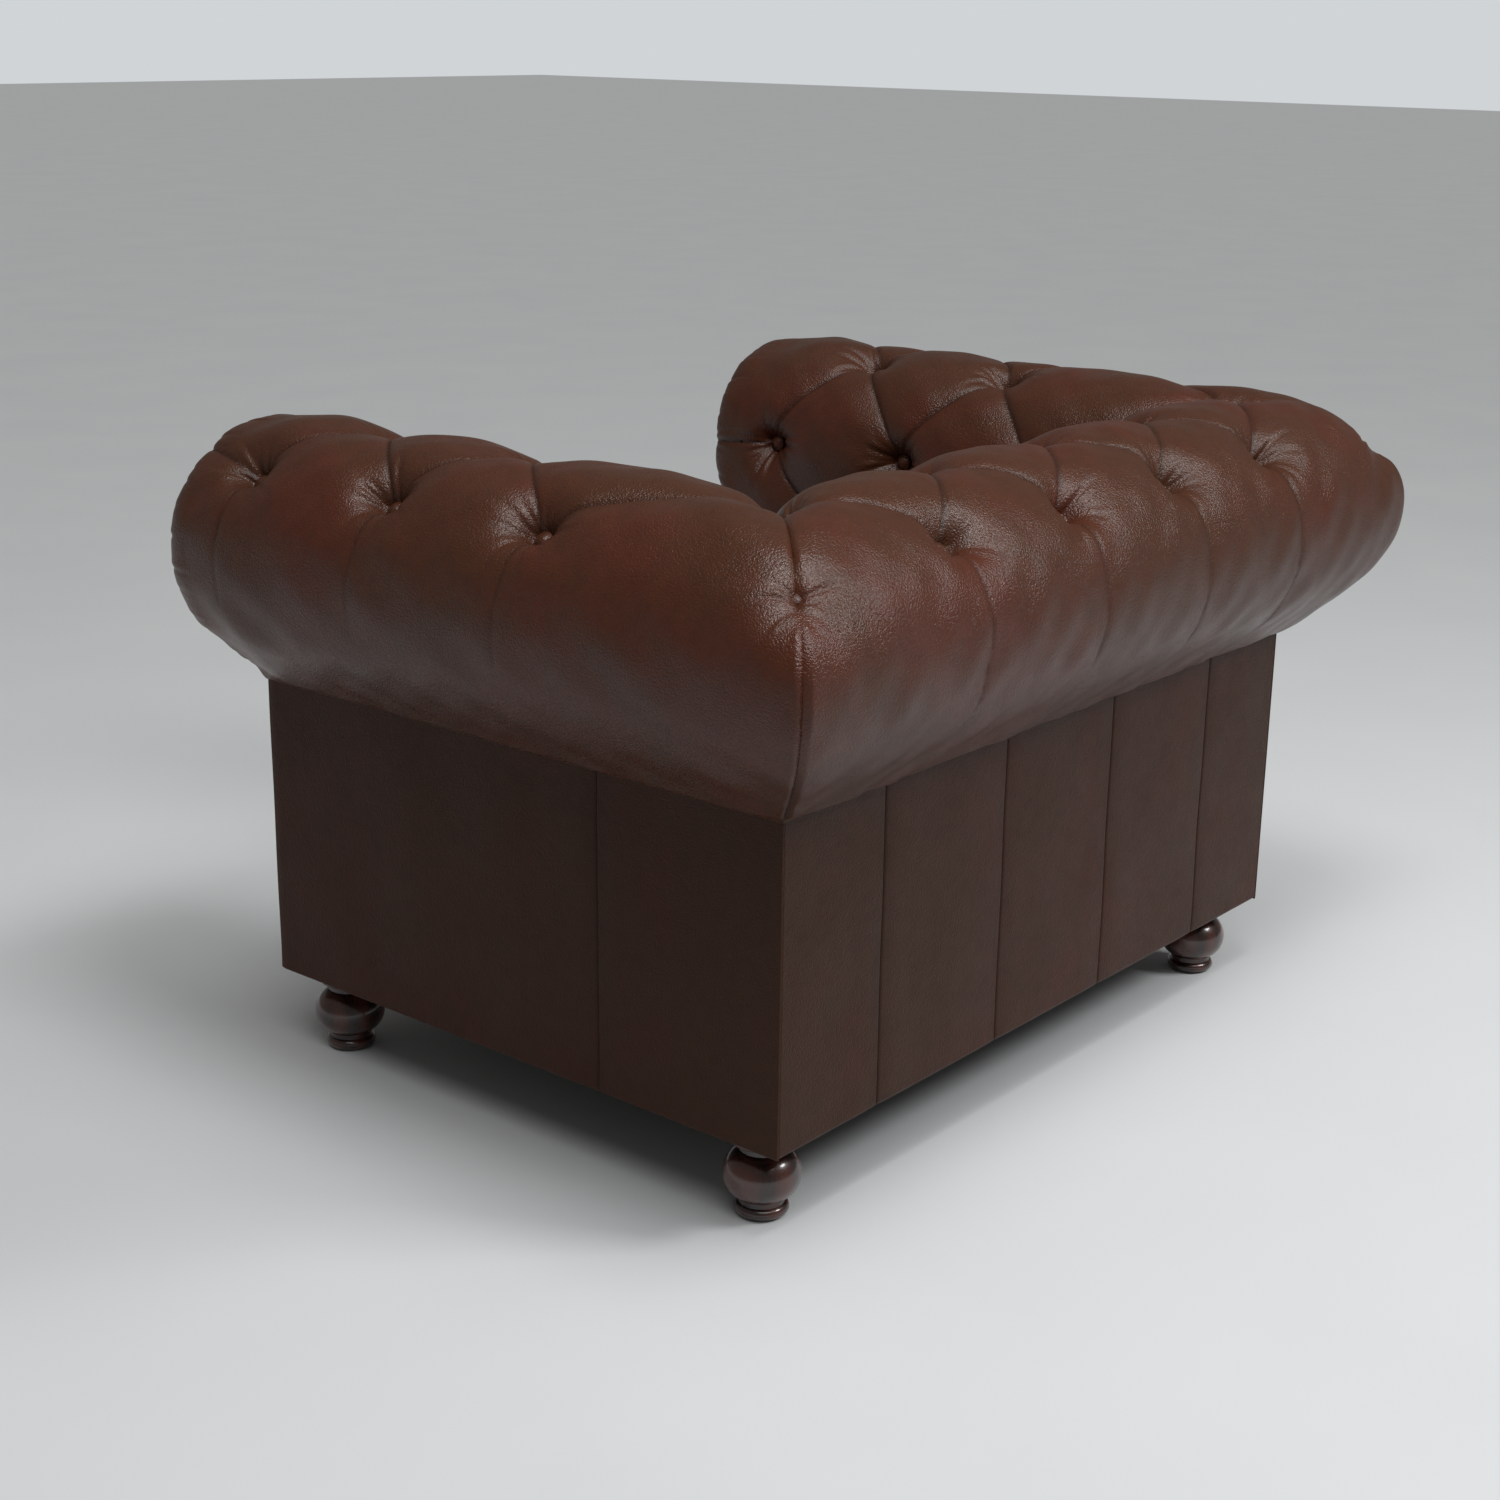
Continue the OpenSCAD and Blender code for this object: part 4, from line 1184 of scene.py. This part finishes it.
# %% [markdown]
# ## Finishes of the frame
#
# Every piece that came from the frame keeps its shape and gets the finish that its material has: planed
# beech, thin birch plywood, jute and polypropylene webbing, blued spring wire, bright zinc, hessian, felt,
# open-cell foam, a brass-toned zip and dark turned feet under varnish.

# %% Woods
def wood(name, light, dark, roughness, rings=9.0, coat=0.0, along=(14.0, 1.2, 14.0), figure=0.5):
    """Growth rings as bent waves across the grain, with fine pores stretched along it."""
    shader = Shader(name, Coat_Roughness=0.12)
    place = shader.stretched(along)
    wave = shader.node("ShaderNodeTexWave", {"bands_direction": "X"},
                       {"Vector": place, "Scale": rings / 10, "Distortion": 6.0, "Detail": 3.0})
    ring = Value(shader, wave.outputs["Fac"])
    pores = shader.noise(60, 5.0, 0.65, place=place)
    tone = (ring * figure + pores * (1 - figure)).clamped()
    shader.set(Base_Color=shader.ramp(tone, [(0.2, dark), (0.75, light)]),
               Roughness=(pores * 0.2 + (roughness - 0.1)).clamped())
    shader.surface.inputs["Coat Weight"].default_value = coat
    shader.set(Normal=shader.bump(pores, 0.25 * MM, 0.5))
    return shader.material


TURNED_WOOD = wood("turned_wood", rgb(74, 36, 26), rgb(30, 13, 10), 0.30, rings=12, coat=0.8,
                   along=(9.0, 9.0, 1.6))
FRAME_WOOD = wood("frame_wood", rgb(206, 172, 124), rgb(150, 112, 72), 0.62, rings=8)
PLYWOOD = wood("plywood", rgb(214, 186, 142), rgb(176, 142, 98), 0.66, rings=5, along=(3.0, 1.0, 30.0))

# %% [markdown]
# Cloths, metals, foam and felt get one short recipe each, and a table then gives every frame piece the
# finish that its slot names.

# %% Cloths, foam and metals
def woven(name, warp, weft, pitch, roughness=0.85):
    """Crossing threads: two waves at right angles, the higher one giving its colour."""
    shader = Shader(name, Specular_IOR_Level=0.3)
    waves = []
    for direction in ("X", "Y"):
        node = shader.node("ShaderNodeTexWave", {"bands_direction": direction},
                           {"Vector": shader.place, "Scale": 0.157 / pitch, "Distortion": 0.6, "Detail": 1.0})
        waves.append(Value(shader, node.outputs["Fac"]))
    over = (waves[0] - waves[1] + 0.5).clamped()
    fuzz = shader.noise(300, 3.0)
    shader.set(Base_Color=shader.mix(over * 0.7 + fuzz * 0.3, warp, weft),
               Roughness=(fuzz * 0.2 + roughness - 0.1).clamped())
    shader.set(Normal=shader.bump(waves[0] + waves[1], 0.35 * MM, 0.8))
    return shader.material


def metal(name, colour, tint, roughness):
    """Drawn or plated steel: bright, with fine streaks and a cloudy plating."""
    shader = Shader(name, Metallic=1.0)
    streaks = shader.noise(240, 4.0, place=shader.stretched((1.0, 12.0, 1.0)))
    cloud = shader.noise(25, 3.0)
    shader.set(Base_Color=shader.mix(cloud, colour, tint),
               Roughness=(streaks * 0.25 + roughness - 0.1).clamped())
    shader.set(Normal=shader.bump(streaks, 0.06 * MM, 0.6))
    return shader.material


def porous(name, light, dark, scale, depth):
    """Felt, foam or moulded plastic: small cells or fibres that only show close up."""
    shader = Shader(name, Roughness=0.9, Specular_IOR_Level=0.3)
    cells = shader.cells(scale)
    shader.set(Base_Color=shader.mix((cells + shader.noise(12, 3.0) * 0.4).clamped(), dark, light),
               Normal=shader.bump(cells, depth, 0.8))
    return shader.material


finishes = {
    "turned_wood": TURNED_WOOD, "frame_wood": FRAME_WOOD, "plywood": PLYWOOD,
    "webbing": woven("webbing", rgb(176, 160, 122), rgb(120, 104, 76), 2.2 * MM),
    "hessian": woven("hessian", rgb(168, 136, 92), rgb(128, 98, 62), 1.8 * MM),
    "spring_steel": metal("spring_steel", rgb(120, 122, 128), rgb(84, 84, 92), 0.34),
    "zinc_steel": metal("zinc_steel", rgb(196, 198, 202), rgb(168, 172, 160), 0.30),
    "deck_felt": porous("deck_felt", rgb(196, 190, 176), rgb(150, 144, 132), 420, 0.5 * MM),
    "foam": porous("foam", rgb(228, 216, 170), rgb(196, 180, 128), 700, 0.4 * MM),
    "zip": metal("zip", rgb(120, 96, 58), rgb(88, 70, 42), 0.38),
    "glide_plastic": porous("glide_plastic", rgb(60, 58, 56), rgb(40, 39, 38), 500, 0.1 * MM),
}
dressed = 0
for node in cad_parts:
    node_object = bpy.data.objects[node]
    for place in node_object.material_slots:
        key = place.material.name.split(".")[0] if place.material else ""
        if key in finishes:
            place.material = finishes[key]
            dressed += 1
print(f"{dressed} frame pieces have their finish")

# %% [markdown]
# ## Light and ground
#
# A wide sun stands in for a pale ceiling, a large window lights the back from one side, and a smaller lamp
# picks out the crest. The ground reaches far past the chair, and the camera sees a plain wall behind it.

# %% Lights and ground
def add_lamp(name, kind, towards, energy, position=(0, 0, 0)):
    """A lamp that shines along towards. Its own size is set on the data that comes back."""
    data = bpy.data.lights.new(name, kind)
    data.energy = energy
    lamp = bpy.data.objects.new(name, data)
    bpy.context.scene.collection.objects.link(lamp)
    lamp.location = position
    lamp.rotation_euler = Vector(towards).to_track_quat("-Z", "Y").to_euler()
    return data


def softbox(name, position, target, size, watts):
    data = add_lamp(name, "AREA", Vector(target) - Vector(position), watts, position)
    data.shape = "RECTANGLE"
    data.size, data.size_y = size


def make_floor(size, material):
    """One wide square under the chair."""
    mesh = bpy.data.meshes.new("floor")
    h = size / 2
    mesh.from_pydata([(-h, -h, 0), (h, -h, 0), (h, h, 0), (-h, h, 0)], [], [(0, 1, 2, 3)])
    mesh.materials.append(material)
    floor = bpy.data.objects.new("floor", mesh)
    bpy.context.scene.collection.objects.link(floor)


add_lamp("ceiling_light", "SUN", (-0.15, -0.35, -1), 1.45).angle = math.radians(50)
softbox("window_light", (-1.2, 2.6, 2.6), (0, 0.1, 0.55), (1.0, 0.8), 52)
softbox("crest_light", (0.7, 0.9, 2.7), (0.2, 0.1, 0.6), (0.8, 0.5), 28)

world = bpy.data.worlds.new("studio")
bpy.context.scene.world = world
world.use_nodes = True
tree = world.node_tree
room = tree.nodes["Background"]
room.inputs["Color"].default_value, room.inputs["Strength"].default_value = rgb(222, 219, 215), 0.22
wall = tree.nodes.new("ShaderNodeBackground")
wall.inputs["Color"].default_value, wall.inputs["Strength"].default_value = rgb(208, 212, 215), 1.0
seen, either = tree.nodes.new("ShaderNodeLightPath"), tree.nodes.new("ShaderNodeMixShader")
for source, target in ((seen.outputs["Is Camera Ray"], 0), (room.outputs[0], 1), (wall.outputs[0], 2)):
    tree.links.new(source, either.inputs[target])
tree.links.new(either.outputs[0], tree.nodes["World Output"].inputs["Surface"])

ground = Shader("ground", Roughness=0.75, Specular_IOR_Level=0.3)
ground.set(Base_Color=ground.mix(ground.noise(3.0, 4.0), rgb(200, 203, 205), rgb(208, 210, 211)))
make_floor(60.0, ground.material)

bpy.context.scene.view_settings.view_transform = "Standard"
